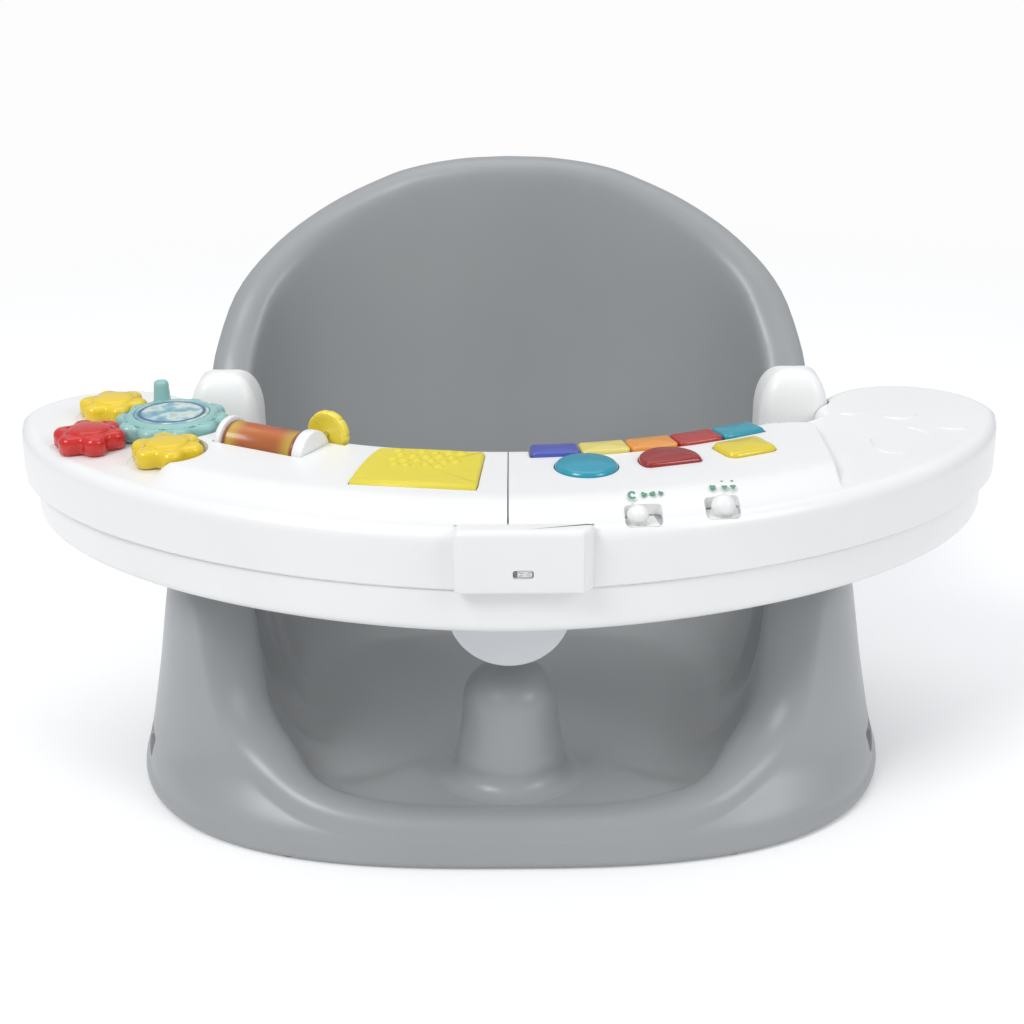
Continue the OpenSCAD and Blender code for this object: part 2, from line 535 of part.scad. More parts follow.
module toy_right_top() color(white) tray_place() difference() {
    union() {
        half_top_skin(seam / 2);
        for (p = post_places) translate([p[0], p[1], module_z + 2.8])
            cylinder(r = 3.6, h = deck_under - module_z - 2.5, $fn = 24);
    }
    for (p = post_places) translate([p[0], p[1], module_z]) cylinder(r = 1.35, h = 14, $fn = 24);
    tray_notches(tray_z, 80);
    // keys lie in a step along the inner edge
    inner_centre() translate([0, 0, key_low - press - 0.4])
        arc_sector(inner_r - 4, key_r1 + fit, key_a0 - 0.12, key_a0 + key_count * key_step + 0.12, 30);
    for (i = [0:key_count - 1]) on_arc(key_a0 + (i + 0.5) * key_step, key_mid, deck_under - 5)
        cylinder(r = 2.4 + fit, h = 12, $fn = 24);
    on_arc(button_angles[0], button_ring, deck_under - 12) cylinder(r = button_r + fit, h = 30, $fn = 64);
    on_arc(button_angles[1], half_ring, deck_under - 12) half_moon(button_r + fit, 30);
    on_arc(button_angles[2], button_ring, deck_under - 12) square_button(fit, 30);
    for (i = [0, 1]) translate([knob_x[i], knob_y[i], deck_under - 4]) rotate([0, 0, knob_turn[i]])
        translate([-knob_slot[i] / 2, -knob_r - 0.7, 0]) cube([knob_slot[i], 2 * knob_r + 1.4, 30]);
}
post_places = [[20, -150], [150, -112], [lobe_x + 13, -40], [lobe_x + 28, 14], [62, -128]];

module base_plate() {
    d = shell_t + 0.3;
    x0 = seam / 2 + shell_t + 0.3;
    difference() {
        skin([module_ring(d, module_z, x0), module_ring(d, module_z + 2.5, x0)]);
        tray_notches(tray_z, 80);
        for (p = post_places) translate([p[0], p[1], module_z - 1]) cylinder(r = 1.6, h = 6, $fn = 24);
        for (p = post_places) translate([p[0], p[1], module_z - 1]) cylinder(r = 3.2, h = 2.2, $fn = 24);
    }
}
module base_screws() color(steel) tray_place() for (s = [-1, 1], p = post_places)
    translate([s * p[0], p[1], module_z]) {
        translate([0, 0, 0.1]) cylinder(r = 2.9, h = 1, $fn = 24);
        cylinder(r = 1.2, h = 10, $fn = 24);
    }

// Battery bay in the right base: three AA cells side by side.
cell_r = 7.2;
cell_l = 50.5;
bay_x = lobe_x - 30;
bay_y = -72;
bay_turn = 40;
module bay_place() translate([bay_x, bay_y, 0]) rotate([0, 0, bay_turn]) children();
bay_w = cell_l + 13;
door_screw_x = bay_w / 2 - 4;
bay_d = 6 * cell_r + 3;
module toy_right_base() color(white) tray_place() difference() {
    union() {
        base_plate();
        bay_place() translate([-bay_w / 2 - 2, -bay_d / 2 - 2, module_z + 1]) cube([bay_w + 4, bay_d + 4, 12]);
    }
    bay_place() difference() {
        translate([-bay_w / 2, -bay_d / 2, module_z - 1]) cube([bay_w, bay_d, 20]);
        translate([door_screw_x - 2.6, -2.6, module_z + 2.6]) cube([bay_w, 5.2, 12]);
    }
    bay_place() translate([door_screw_x, 0, module_z]) cylinder(r = 1.35, h = 8, $fn = 24);
    // slots that let the sound out below
    for (k = [-2:2]) translate([speaker_x + 6 * k - 1, speaker_y - 10, module_z - 1]) cube([2, 20, 5]);
}
module toy_left_base() color(white) tray_place() mirrored(-1) base_plate();

module battery_door() color(white) tray_place() bay_place() difference() {
    translate([-bay_w / 2 + 0.3, -bay_d / 2 + 0.3, module_z + 0.2]) cube([bay_w - 0.6, bay_d - 0.6, 2]);
    translate([door_screw_x, 0, module_z - 1]) cylinder(r = 1.5, h = 5, $fn = 24);
}
module door_screw() color(steel) tray_place() bay_place() translate([door_screw_x, 0, module_z - 1]) {
    cylinder(r = 2.6, h = 1.2, $fn = 24);
    cylinder(r = 1.25, h = 8, $fn = 24);
}
cell_z = module_z + 2.4 + cell_r;
module batteries() color("#4b6f8f") tray_place() bay_place() for (k = [-1, 0, 1])
    translate([-cell_l / 2 - 1.2, k * (2 * cell_r + 0.5), cell_z]) rotate([0, 90, 0]) {
        cylinder(r = cell_r, h = cell_l - 1.5, $fn = 32);
        cylinder(r = 2.7, h = cell_l, $fn = 24);
    }
module battery_contacts() color(steel) tray_place() bay_place() {
    translate([-bay_w / 2 + 0.1, -bay_d / 2 + 1, module_z + 3]) cube([0.5, bay_d - 2, 9]);
    translate([-bay_w / 2 + 0.6, -1.5, module_z + 6]) cube([2.1, 3, 5]);
    for (k = [-1, 1]) translate([-bay_w / 2 + 0.6, k * (2 * cell_r + 0.5) - 1.5, module_z + 6]) cube([2.1, 3, 5]);
    translate([cell_l / 2 - 1.15, -bay_d / 2 + 1, module_z + 7]) cube([0.5, bay_d - 2, 5]);
}

// Circuit board and key sheet under the console, and a speaker in the lobe.
module circuit_board() color("#2f7d4f") tray_place() difference() {
    inner_centre() translate([0, 0, board_z]) arc_sector(key_r0 + 4, button_ring + 13, 2.6, 31, 1.6);
    for (p = post_places) translate([p[0], p[1], board_z - 1]) cylinder(r = 4.2, h = 4, $fn = 24);
}
module key_sheet() color("#d9dcdf") tray_place() difference() {
    inner_centre() translate([0, 0, sheet_z]) union() {
        arc_sector(key_r0 + 5, button_ring + 12, 3, 30.6, 1);
        for (i = [0:key_count - 1]) rotate([0, 0, key_a0 + (i + 0.5) * key_step])
            translate([0, -key_mid, 0]) cylinder(r1 = 3.6, r2 = 2.6, h = 2, $fn = 24);
        for (a = button_angles) rotate([0, 0, a]) translate([0, -button_ring, 0])
            cylinder(r1 = 5, r2 = 4, h = 2, $fn = 24);
    }
    for (p = post_places) translate([p[0], p[1], board_z - 1]) cylinder(r = 4.2, h = 6, $fn = 24);
}
speaker_x = lobe_x + 6;
speaker_y = -4;
module speaker() color("#3a3c40") tray_place() translate([speaker_x, speaker_y, deck_under - 10.3])
    rotate_extrude($fn = 64) polygon([[0, 0], [9, 0], [9, 5], [18, 7], [18, 10], [14, 10], [12, 7.5], [5, 6], [0, 6.6]]);

// Keys: five blocks that follow the inner edge.
key_colours = ["#5563c4", "#eedd7d", "#f0a040", "#c9403c", "#22a3bd"];
module key(i) color(key_colours[i]) tray_place() {
    a0 = key_a0 + i * key_step + 0.05;
    a1 = key_a0 + (i + 1) * key_step - 0.05;
    inner_centre() {
        translate([0, 0, key_low]) arc_sector(key_r0, key_r1, a0, a1, console_z - key_low + 1.2);
        translate([0, 0, console_z + 1.2]) arc_sector(key_r0 + 1.2, key_r1 - 1.2, a0 + 0.28, a1 - 0.28, 1);
    }
    on_arc((a0 + a1) / 2, key_mid, stem_low) cylinder(r = 2.4, h = key_low - stem_low + 0.5, $fn = 24);
}
// A flange under the deck keeps each button in its hole.
flange_z = deck_under - loose - 1.8;
module button_round() color("#1ba3b8") tray_place() on_arc(button_angles[0], button_ring, 0) {
    rotate_extrude($fn = 64) polygon(concat([[0, flange_z], [button_r + 1.6, flange_z],
        [button_r + 1.6, flange_z + 1.8], [button_r, flange_z + 1.8]],
        [for (t = [0:15:90]) [button_r - 3.4 + 3.4 * cos(t), console_z + 0.2 + 2.6 * sin(t)]],
        [[0, console_z + 3.3]]));
    translate([0, 0, stem_low]) cylinder(r = 4, h = flange_z - stem_low + 0.5, $fn = 24);
}
module button_half() color("#c8352f") tray_place() on_arc(button_angles[1], half_ring, 0) {
    translate([0, 0, flange_z + 1.8]) half_moon(button_r, console_z - flange_z - 0.4);
    translate([0, 0.6, console_z + 1.4]) half_moon(button_r - 1.6, 1.5);
    translate([0, 0, flange_z]) half_moon(button_r + 1.6, 1.8);
    translate([0, 0, stem_low]) cylinder(r = 4, h = flange_z - stem_low + 0.5, $fn = 24);
}
module button_square() color("#e6c420") tray_place() on_arc(button_angles[2], button_ring, 0) {
    translate([0, 0, flange_z + 1.8]) square_button(0, console_z - flange_z - 0.4);
    translate([0, 0, console_z + 1.4]) square_button(-1.6, 1.5);
    translate([0, 0, flange_z]) square_button(1.6, 1.8);
    translate([0, 0, stem_low]) cylinder(r = 4, h = flange_z - stem_low + 0.5, $fn = 24);
}

// Slide knobs: a plate under the deck and a domed cap that stands in the slot.
module slide_knob(i, offset) color(white) tray_place()
    translate([knob_x[i], knob_y[i], 0]) rotate([0, 0, knob_turn[i]]) translate([offset, 0, 0]) {
        translate([-plate_w / 2, -1.4, deck_under - loose - 2]) cube([plate_w, knob_r + 3.9, 2]);
        rotate_extrude($fn = 48) polygon(concat([[0, deck_under - loose - 0.2], [knob_r, deck_under - loose - 0.2]],
            [for (t = [0:18:90]) [knob_r * cos(t), rim_z + 4.4 + 3.2 * sin(t)]]));
    }
module speed_knob() slide_knob(0, -knob_travel[0] / 2);
module mode_knob() slide_knob(1, 0);

// ------------------------------------------------------------- latch cover
latch_x = 7.5;
latch_front = module_d + 6;
latch_z0 = module_z + 1;
latch_z1 = rim_z + 2.5;
window_w = 9.6;
window_h = 4.2;
window_z = module_z + 9;
module latch_outline(grow) polygon(concat(
    [for (x = [latch_w / 2:-latch_w / 16:-latch_w / 2]) let (px = x + latch_x,
        t = asin(pow(abs(px) / (module_w / 2), front_power / 2)), p = front_point(t, module_w / 2, module_d, 0))
        [px, p[1] - 0.3]],
    [[latch_x - latch_w / 2, -latch_front + 5], [latch_x - latch_w / 2 + 2, -latch_front + 1.5],
     [latch_x - latch_w / 2 + 5, -latch_front], [latch_x + latch_w / 2 - 9, -latch_front],
     [latch_x + latch_w / 2 - 5, -latch_front + 1.5], [latch_x + latch_w / 2, -latch_front + 6]]));
module latch_cover() color(white) tray_place() difference() {
    union() {
        translate([0, 0, latch_z0]) linear_extrude(height = latch_z1 - latch_z0 - 2.2) latch_outline(0);
        // lip over the rim of both halves
        translate([0, 0, latch_z1 - 2.2]) linear_extrude(height = 2.2) intersection() {
            translate([latch_x - latch_w / 2 + 2, -latch_front + 1.5]) square([latch_w - 6, 13]);
            translate([latch_x - latch_w / 2, -latch_front]) square([latch_w, 20]);
        }
    }
    translate([latch_x - window_w / 2 - 0.5, -latch_front - 1, window_z]) cube([window_w, 3.5, window_h]);
    translate([latch_x - window_w / 2 - 3.2, -latch_front + 2, window_z - 1.2]) cube([window_w + 5.4, 2.6, window_h + 2.4]);
}
module latch_slider() color("#eceeee") tray_place() {
    translate([latch_x - window_w / 2 + 1.3, -latch_front + 0.4, window_z + 0.3]) cube([window_w - 2.1, 2.2, window_h - 0.6]);
    translate([latch_x - window_w / 2 - 0.9, -latch_front + 2.3, window_z - 0.9]) cube([window_w + 2.6, 2, window_h + 1.8]);
}

// ------------------------------------------------------------------- gears
gear_z = rim_z + 0.4;
big_x = 40 - lobe_x;
big_y = -38.7;
gear_dirs = [144, 211.5, 277];     // directions of the three small gears
big_mean = gear_pitch * 28.6 / 46.5;
small_mean = gear_pitch * 17 / 46.5;
lobe_big = 2.4;
lobe_small = 2.4;
module lobed(mean, amp, teeth, phase) polygon([for (i = [0:teeth * 14 - 1])
    let (a = 360 * i / (teeth * 14), r = mean + amp * cos(teeth * (a - phase))) [r * cos(a), r * sin(a)]]);
function small_centre(k) = [big_x + gear_pitch * cos(gear_dirs[k]), big_y + gear_pitch * sin(gear_dirs[k])];
// A small gear's valley faces the large gear's tooth along the line of centres.
function small_phase(k) = let (d = gear_dirs[k])
    d + 180 + 180 / small_teeth + d * big_teeth / small_teeth;
module gear_body(mean, amp, teeth, phase, hub) difference() {
    union() {
        linear_extrude(height = gear_t - 1.4) lobed(mean, amp, teeth, phase);
        translate([0, 0, gear_t - 1.4]) linear_extrude(height = 1.4) lobed(mean - 1.2, amp * 0.8, teeth, phase);
        cylinder(r = hub, h = gear_t + 1.2, $fn = 64);
    }
    translate([0, 0, -1]) cylinder(r = gear_pin_r + run, h = gear_t - 2, $fn = 32);
}
module big_gear() color(teal) tray_place() translate([big_x, big_y, gear_z]) difference() {
    union() {
        gear_body(big_mean, lobe_big, big_teeth, 0, big_mean - 5);
        // crank peg for small fingers
        rotate([0, 0, peg_angle]) translate([disc_r + peg_r + 0.7, 0, gear_t]) rotate_extrude($fn = 40)
            polygon([[0, 0], [peg_r, 0], [peg_r - 0.1, 1.6], [peg_r - 0.5, 10], [peg_r - 1.5, 11.4],
                     [peg_r - 2.4, 11.4], [0, 10.7]]);
    }
    translate([0, 0, gear_t + 0.2]) cylinder(r = disc_r + 0.3, h = 3, $fn = 64);
}
disc_r = 20;
peg_r = 4.6;
peg_angle = 112;          // a lobe of the gear lies beside it
module gear_disc() color("#9cc3cf") tray_place() translate([big_x, big_y, gear_z + gear_t + 0.2]) difference() {
    cylinder(r = disc_r, h = 1, $fn = 64);
    for (k = [0:5]) rotate([0, 0, 60 * k + 8]) translate([disc_r * 0.6, 0, 0.6]) cylinder(r = 2.4, h = 1, $fn = 24);
}
module small_gear(k) translate([small_centre(k)[0], small_centre(k)[1], gear_z])
    gear_body(small_mean, lobe_small, small_teeth, small_phase(k), 10.5);
module gear_yellow_rear() color(yellow) tray_place() small_gear(0);
module gear_red() color(red) tray_place() small_gear(1);
module gear_yellow_front() color(yellow) tray_place() small_gear(2);
gear_centres = concat([[big_x, big_y]], [for (k = [0:2]) small_centre(k)]);
module gear_pins() color(steel) tray_place() for (c = gear_centres) translate([c[0], c[1], deck_under - 6]) {
    cylinder(r = gear_pin_r, h = gear_z - deck_under + gear_t + 2.6, $fn = 32);
    cylinder(r = gear_pin_r + 2.5, h = 5.7, $fn = 32);
}

// ------------------------------------------------- bead roller, click wheel
roller_a = -28.6;
roller_ring = inner_r + 19;
roller_z = console_z - 3.5;
cheek_r = roller_r + 1.8;
cheek_l = 3.4;
cheek_t = 6.6;             // the click wheel's axle is held in the thick cheek
cradle_x0 = -roller_l / 2 - fit - cheek_l;
cradle_x1 = roller_l / 2 + fit + cheek_t;
cradle_w = 2 * cheek_r + 1;
cap_r = 2.95;
module roller_place() on_arc(roller_a, roller_ring, roller_z) children();
module bead_roller() color("#c9791f") tray_place() roller_place() translate([-roller_l / 2, 0, 0]) rotate([0, 90, 0])
    difference() {
        cylinder(r = roller_r, h = roller_l, $fn = 64);
        translate([0, 0, 2.2]) cylinder(r = roller_r - 1.6, h = roller_l - 4.4, $fn = 64);
        translate([0, 0, -1]) cylinder(r = 3, h = roller_l + 2, $fn = 32);
    }
module roller_caps() color(white) tray_place() roller_place() for (s = [-1, 1]) mirrored(s)
    translate([roller_l / 2 - 2.2, 0, 0]) rotate([0, 90, 0]) cylinder(r = cap_r, h = 4.8, $fn = 32);
bead_n = 9;
module roller_beads() color("#8c3b1c") tray_place() roller_place() for (k = [0:bead_n - 1])
    let (x = lerp(-roller_l / 2 + 5, roller_l / 2 - 5, k / (bead_n - 1)), a = 25 * sin(k * 77))
        translate([x, (roller_r - 3.8) * sin(a), -(roller_r - 3.8) * cos(a)]) sphere(r = 2, $fn = 24);
module cheek(t) rotate([90, 0, 90]) linear_extrude(height = t) union() {
    circle(r = cheek_r, $fn = 64);
    translate([-cheek_r, -10]) square([2 * cheek_r, 10]);
}
wheel_n = 17.4;            // towards the child from the roller's axis
wheel_z = console_z + 3.4;
wheel_x = roller_l / 2 + fit + cheek_t / 2;
axle_r = 1.55;
module roller_cradle() color(white) tray_place() roller_place() difference() {
    union() {
        // tray under the roller, open above
        translate([cradle_x0, -cradle_w / 2, -roller_r - 3]) cube([cradle_x1 - cradle_x0, cradle_w, roller_r + 5]);
        translate([cradle_x0, 0, 0]) cheek(cheek_l);
        translate([cradle_x1 - cheek_t, 0, 0]) cheek(cheek_t);
        // lip that bears on the underside of the deck
        translate([cradle_x0 - 3, -cradle_w / 2 - 3, deck_under - roller_z - 2])
            cube([cradle_x1 - cradle_x0 + 6, 12, 2]);
    }
    translate([-roller_l / 2 - fit, -roller_r - 0.5, -roller_r - 0.8]) cube([roller_l + 2 * fit, 2 * roller_r + 1, 40]);
    translate([cradle_x0 + 1, 0, 0]) rotate([0, 90, 0]) cylinder(r = cap_r + run, h = roller_l + 8, $fn = 32);
    translate([wheel_x, 2, wheel_z - roller_z]) rotate([-90, 0, 0]) cylinder(r = axle_r + run, h = 20, $fn = 24);
}
module wheel_place() roller_place() translate([wheel_x, wheel_n, wheel_z - roller_z]) children();
module click_wheel() color(yellow) tray_place() wheel_place() rotate([-90, 0, 0]) difference() {
    union() {
        translate([0, 0, -wheel_t / 2]) cylinder(r = wheel_r, h = wheel_t - 0.8, $fn = 64);
        translate([0, 0, wheel_t / 2 - 0.8]) cylinder(r = wheel_r - 0.9, h = 0.8, $fn = 64);
    }
    translate([0, 0, -wheel_t]) cylinder(r = axle_r + 0.1, h = wheel_t * 1.2, $fn = 24);
    for (k = [0:7]) rotate([0, 0, 45 * k]) translate([wheel_r + 0.6, 0, -wheel_t])
        cylinder(r = 1.5, h = 2 * wheel_t, $fn = 24);
}
module click_axle() color(steel) tray_place() wheel_place() translate([0, -wheel_n + 3, 0]) rotate([-90, 0, 0])
    cylinder(r = axle_r, h = wheel_n - 3 + wheel_t * 0.15, $fn = 24);

// --------------------------------------------------------- peek-a-boo flap
flap_a = -8.9;
flap_w0 = 63;                  // along the hinge
flap_w1 = 55;                  // along the child's side
flap_d = 47;
flap_r = 4.3;                  // the hinged edge is round about its pin
flap_hinge_r = inner_r + 9 + flap_d;
flap_z = console_z - 2.4;      // hinge axis
flap_pin_r = 1.1;
module flap_place() on_arc(flap_a, flap_hinge_r, flap_z) children();
module flap_outline(g, front = 0) polygon(concat([[flap_w0 / 2 + g, -front], [flap_w0 / 2 + g, 0.01],
        [flap_w1 / 2 + g, flap_d - 3]],
    [for (x = [flap_w1 / 2 - 2:-(flap_w1 - 4) / 6:-flap_w1 / 2 + 2]) [x, flap_d + g - (x * x) / 520]],
    [[-flap_w1 / 2 - g, flap_d - 3], [-flap_w0 / 2 - g, 0.01], [-flap_w0 / 2 - g, -front]]));
module flap() color("#e8d83c") tray_place() flap_place() difference() {
    union() {
        translate([0, 0, -1.8]) linear_extrude(height = flap_r + 0.8) flap_outline(0);
        translate([0, 0, flap_r - 1]) linear_extrude(height = 1) flap_outline(-1);
        translate([-flap_w0 / 2, 0, 0]) rotate([0, 90, 0]) cylinder(r = flap_r, h = flap_w0, $fn = 48);
        // raised bumps on the leaf
        for (i = [-3:3], j = [0:1]) translate([i * 6.6 + (j == 1 ? 3.3 : 0), flap_d - 17 + 6 * j, flap_r - 0.5])
            cylinder(r1 = 2.4, r2 = 1.6, h = 1.3, $fn = 24);
    }
    translate([-flap_w0 / 2 - 1, 0, 0]) rotate([0, 90, 0]) cylinder(r = flap_pin_r + run, h = flap_w0 + 2, $fn = 24);
}
module flap_pin() color(steel) tray_place() flap_place() translate([-flap_w0 / 2 - 3, 0, 0]) rotate([0, 90, 0])
    cylinder(r = flap_pin_r, h = flap_w0 + 6, $fn = 24);

module toy_left_top() color(white) tray_place() difference() {
    union() {
        mirrored(-1) half_top_skin(seam / 2);
        for (p = post_places) translate([-p[0], p[1], module_z + 2.8])
            cylinder(r = 3.6, h = deck_under - module_z - 2.5, $fn = 24);
    }
    for (p = post_places) translate([-p[0], p[1], module_z]) cylinder(r = 1.35, h = 14, $fn = 24);
    mirrored(-1) tray_notches(tray_z, 80);
    // recess round the gears, and a hole for each pin
    for (k = [0:3]) translate([gear_centres[k][0], gear_centres[k][1], gear_z - 0.5])
        cylinder(r = (k == 0 ? big_mean + lobe_big : small_mean + lobe_small) + 1.5, h = 20, $fn = 64);
    for (c = gear_centres) translate([c[0], c[1], deck_under - 5]) cylinder(r = gear_pin_r + 0.1, h = 20, $fn = 32);
    roller_place() translate([cradle_x0 - 0.3, -cradle_w / 2 - 0.3, -roller_r - 3.3])
        cube([cradle_x1 - cradle_x0 + 0.6, cradle_w + 0.6, 60]);
    // slot of the click wheel, from the cradle's recess out through the inner wall
    wheel_place() translate([-wheel_r - 1, -wheel_t, -wheel_r - 1.4]) cube([2 * wheel_r + 2, 3 * wheel_t, 40]);
    // recess of the flap, a trough for its round edge, and the pin's two ends
    flap_place() translate([0, 0, -2.4]) linear_extrude(height = 20) flap_outline(0.5, flap_r + 0.8);
    flap_place() translate([-flap_w0 / 2 - 0.4, -flap_r - 0.2, -flap_r - loose]) cube([flap_w0 + 0.8, 2 * flap_r + 0.6, 6]);
    flap_place() translate([-flap_w0 / 2 - 3.1, 0, 0]) rotate([0, 90, 0])
        cylinder(r = flap_pin_r + 0.1, h = flap_w0 + 6.2, $fn = 24);
}

seat_shell();
foot_pads();
feeding_tray();
arm_clip_left();
arm_clip_right();
clip_screws();
release_lever();
lever_pin();
lever_spring();
toy_left_top();
toy_left_base();
toy_right_top();
toy_right_base();
base_screws();
latch_cover();
latch_slider();
big_gear();
gear_disc();
gear_yellow_rear();
gear_red();
gear_yellow_front();
gear_pins();
bead_roller();
roller_caps();
roller_beads();
roller_cradle();
click_wheel();
click_axle();
flap();
flap_pin();
key(0);  // key_1
key(1);  // key_2
key(2);  // key_3
key(3);  // key_4
key(4);  // key_5
button_round();
button_half();
button_square();
key_sheet();
circuit_board();
speaker();
batteries();
battery_contacts();
battery_door();
door_screw();
speed_knob();
mode_knob();
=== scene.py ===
# Baby floor seat: looks. Shapes are worked out in millimetres, in the CAD's own
# frame: +Z up, +X to the right of someone facing the seat, -Y to the front.
import math

import bmesh
import bpy
import numpy as np
from mathutils import Matrix, Vector

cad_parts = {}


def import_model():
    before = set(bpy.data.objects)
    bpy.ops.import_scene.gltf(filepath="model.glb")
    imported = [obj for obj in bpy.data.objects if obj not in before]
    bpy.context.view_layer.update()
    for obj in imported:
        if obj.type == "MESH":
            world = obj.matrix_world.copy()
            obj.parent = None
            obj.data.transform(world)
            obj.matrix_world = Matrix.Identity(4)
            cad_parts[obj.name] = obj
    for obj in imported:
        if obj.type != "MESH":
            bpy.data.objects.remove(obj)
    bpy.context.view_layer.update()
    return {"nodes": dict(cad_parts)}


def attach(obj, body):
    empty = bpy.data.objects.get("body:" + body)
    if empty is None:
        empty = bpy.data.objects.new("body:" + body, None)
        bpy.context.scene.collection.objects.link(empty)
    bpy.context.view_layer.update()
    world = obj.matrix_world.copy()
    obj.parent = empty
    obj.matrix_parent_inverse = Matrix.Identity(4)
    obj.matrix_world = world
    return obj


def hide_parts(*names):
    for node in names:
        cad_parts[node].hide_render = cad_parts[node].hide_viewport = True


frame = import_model()
NODES = frame["nodes"]
MM = 0.001

# ------------------------------------------------- sizes shared with the CAD
BASE_W, BASE_D, BACK_H, LIP_H = 418, 331, 307, 33
RIM_W, RIM_ROLL, WALL, FLOOR_H = 352, 12, 3, 18
FLANK_RECESS, PAD_T = 14, 1.2
POST_R, POST_H = 27, 85
SLOT_W, SLOT_H, SLOT_ANGLE, SLOT_Z = 27, 13, 73.6, 20
MODULE_W, MODULE_D, LOBE_R, INNER_R = 546, 187, 51, 243
TRAY_Z, TRAY_H, TRAY_INSET, DISH_D = 134, 23, 6.5, 10.5
SHELL_T, SEAM, FIT = 2.5, 0.6, 0.4
MODULE_Z = TRAY_Z + TRAY_H
RIM_Z = MODULE_Z + 30
CONSOLE_H = 6
CONSOLE_Z = RIM_Z + CONSOLE_H
DECK_UNDER = RIM_Z - SHELL_T
WIDEST_Y = 21
INNER_CY = 157
LOBE_Y = -11
ARM_TOP = TRAY_Z - 0.4
BASE_CY = WIDEST_Y - 16.5
POST_Y = BASE_CY - 100
LEVER_R, LEVER_T, HINGE_Y, HINGE_Z = 34, 4, -140, TRAY_Z + 4.5
CLIP_W, CLIP_L, CLIP_H, CLIP_Y = 39.5, 31, 205, -2
CLIP_X = RIM_W / 2 - 14.75
DISH_Z = MODULE_Z - DISH_D
GEAR_Z, GEAR_T, GEAR_PITCH = RIM_Z + 0.4, 9.5, 46.5
BIG_X, BIG_Y = -182, -38.7
GEAR_DIRS = (144, 211.5, 277)
BIG_TEETH, SMALL_TEETH = 10, 6
BIG_MEAN, SMALL_MEAN, LOBE = 28.6, 17, 2.4
LOBE_SHARE, LOBE_FLAT = 0.92, 0.16      # how far the drawn lobes stand out, and how flat their tips are
DISC_R, PEG_R, PEG_ANGLE = 20, 4.6, 112
ROLLER_A, ROLLER_RING, ROLLER_R, ROLLER_L = -28.6, INNER_R + 19, 11.5, 45
ROLLER_Z = CONSOLE_Z - 3.5
CHEEK_R, CHEEK_LEFT, CHEEK_RIGHT = ROLLER_R + 1.8, 3.4, 6.6
CRADLE_X0, CRADLE_X1 = -ROLLER_L / 2 - FIT - CHEEK_LEFT, ROLLER_L / 2 + FIT + CHEEK_RIGHT
WHEEL_R, WHEEL_T, WHEEL_N, WHEEL_Z = 12.2, 5, 17.4, CONSOLE_Z + 3.4
FLAP_A, FLAP_D, FLAP_R, FLAP_MARGIN = -8.9, 47, 4.3, 9
FLAP_W0, FLAP_W1, FLAP_BOW = 63, 55, 520
FLAP_Z = CONSOLE_Z - 2.4
KEY_R0, KEY_R1, KEY_A0, KEY_STEP, KEY_COUNT = INNER_R + 0.5, INNER_R + 15.5, 2.5, 5.85, 5
BUTTON_RING, BUTTON_R = INNER_R + 32, 16
BUTTON_ANGLES = (8.2, 17.2, 26.2)
SQUARE_W, SQUARE_D = 29, 21
KEY_GAP, KEY_BAY_GAP = 0.07, 0.12       # degrees round the inner edge
KNOBS = ((64.5, -169, 10, -3.1, 18.2), (103, -158.5, 15, 0, 17.4))    # x, y, turn, offset, slot
KNOB_R = 5.8
LATCH_X, LATCH_W, LATCH_FRONT = 7.5, 66, MODULE_D + 6
WINDOW_W, WINDOW_H, WINDOW_Z = 9.6, 4.2, MODULE_Z + 9


# ------------------------------------------------------------------- helpers
def lerp(a, b, t):
    return a + (b - a) * t


def clamp(v):
    return min(max(v, 0.0), 1.0)


def ease(t):
    c = clamp(t)
    return c * c * (3 - 2 * c)


def rad(a):
    return math.radians(a)


def polar(r, a):
    """A point at radius r and angle a in degrees."""
    return (r * math.cos(rad(a)), r * math.sin(rad(a)))


def circle(r, n=72):
    return [polar(r, 360 * k / n) for k in range(n)]


def quarter(n):
    """(1 - cos, sin) at n steps of a quarter turn, for rounded edges."""
    turns = [math.pi / 2 * k / (n - 1) for k in range(n)]
    return [(1 - math.cos(t), math.sin(t)) for t in turns]


def curve(points, blur=0.0):
    """A smooth curve through points, with no overshoot, softened by blur."""
    xs = np.array([p[0] for p in points], float)
    ys = np.array([p[1] for p in points], float)
    sec = np.diff(ys) / np.diff(xs)
    slope = np.zeros(len(xs))
    slope[0], slope[-1] = sec[0], sec[-1]
    for i in range(1, len(xs) - 1):
        a, b = sec[i - 1], sec[i]
        slope[i] = 0 if a * b <= 0 else 2 * a * b / (a + b)
    grid = np.linspace(xs[0], xs[-1], 1600)
    i = np.clip(np.searchsorted(xs, grid, side="right") - 1, 0, len(xs) - 2)
    h = xs[i + 1] - xs[i]
    u = (grid - xs[i]) / h
    v = ((2 * u**3 - 3 * u**2 + 1) * ys[i] + (u**3 - 2 * u**2 + u) * h * slope[i]
         + (3 * u**2 - 2 * u**3) * ys[i + 1] + (u**3 - u**2) * h * slope[i + 1])
    if blur > 0:
        step = grid[1] - grid[0]
        n = max(int(3 * blur / step), 1)
        kernel = np.exp(-0.5 * (np.arange(-n, n + 1) * step / blur) ** 2)
        padded = np.concatenate([2 * v[0] - v[n:0:-1], v, 2 * v[-1] - v[-2:-n - 2:-1]])
        v = np.convolve(padded, kernel / kernel.sum(), mode="valid")
    return lambda x: float(np.interp(x, grid, v))


def at_z(outline, z):
    return [(p[0], p[1], z) for p in outline]


def flip(obj):
    """Makes every face look outwards."""
    bm = bmesh.new()
    bm.from_mesh(obj.data)
    bmesh.ops.recalc_face_normals(bm, faces=bm.faces)
    bm.to_mesh(obj.data)
    bm.free()


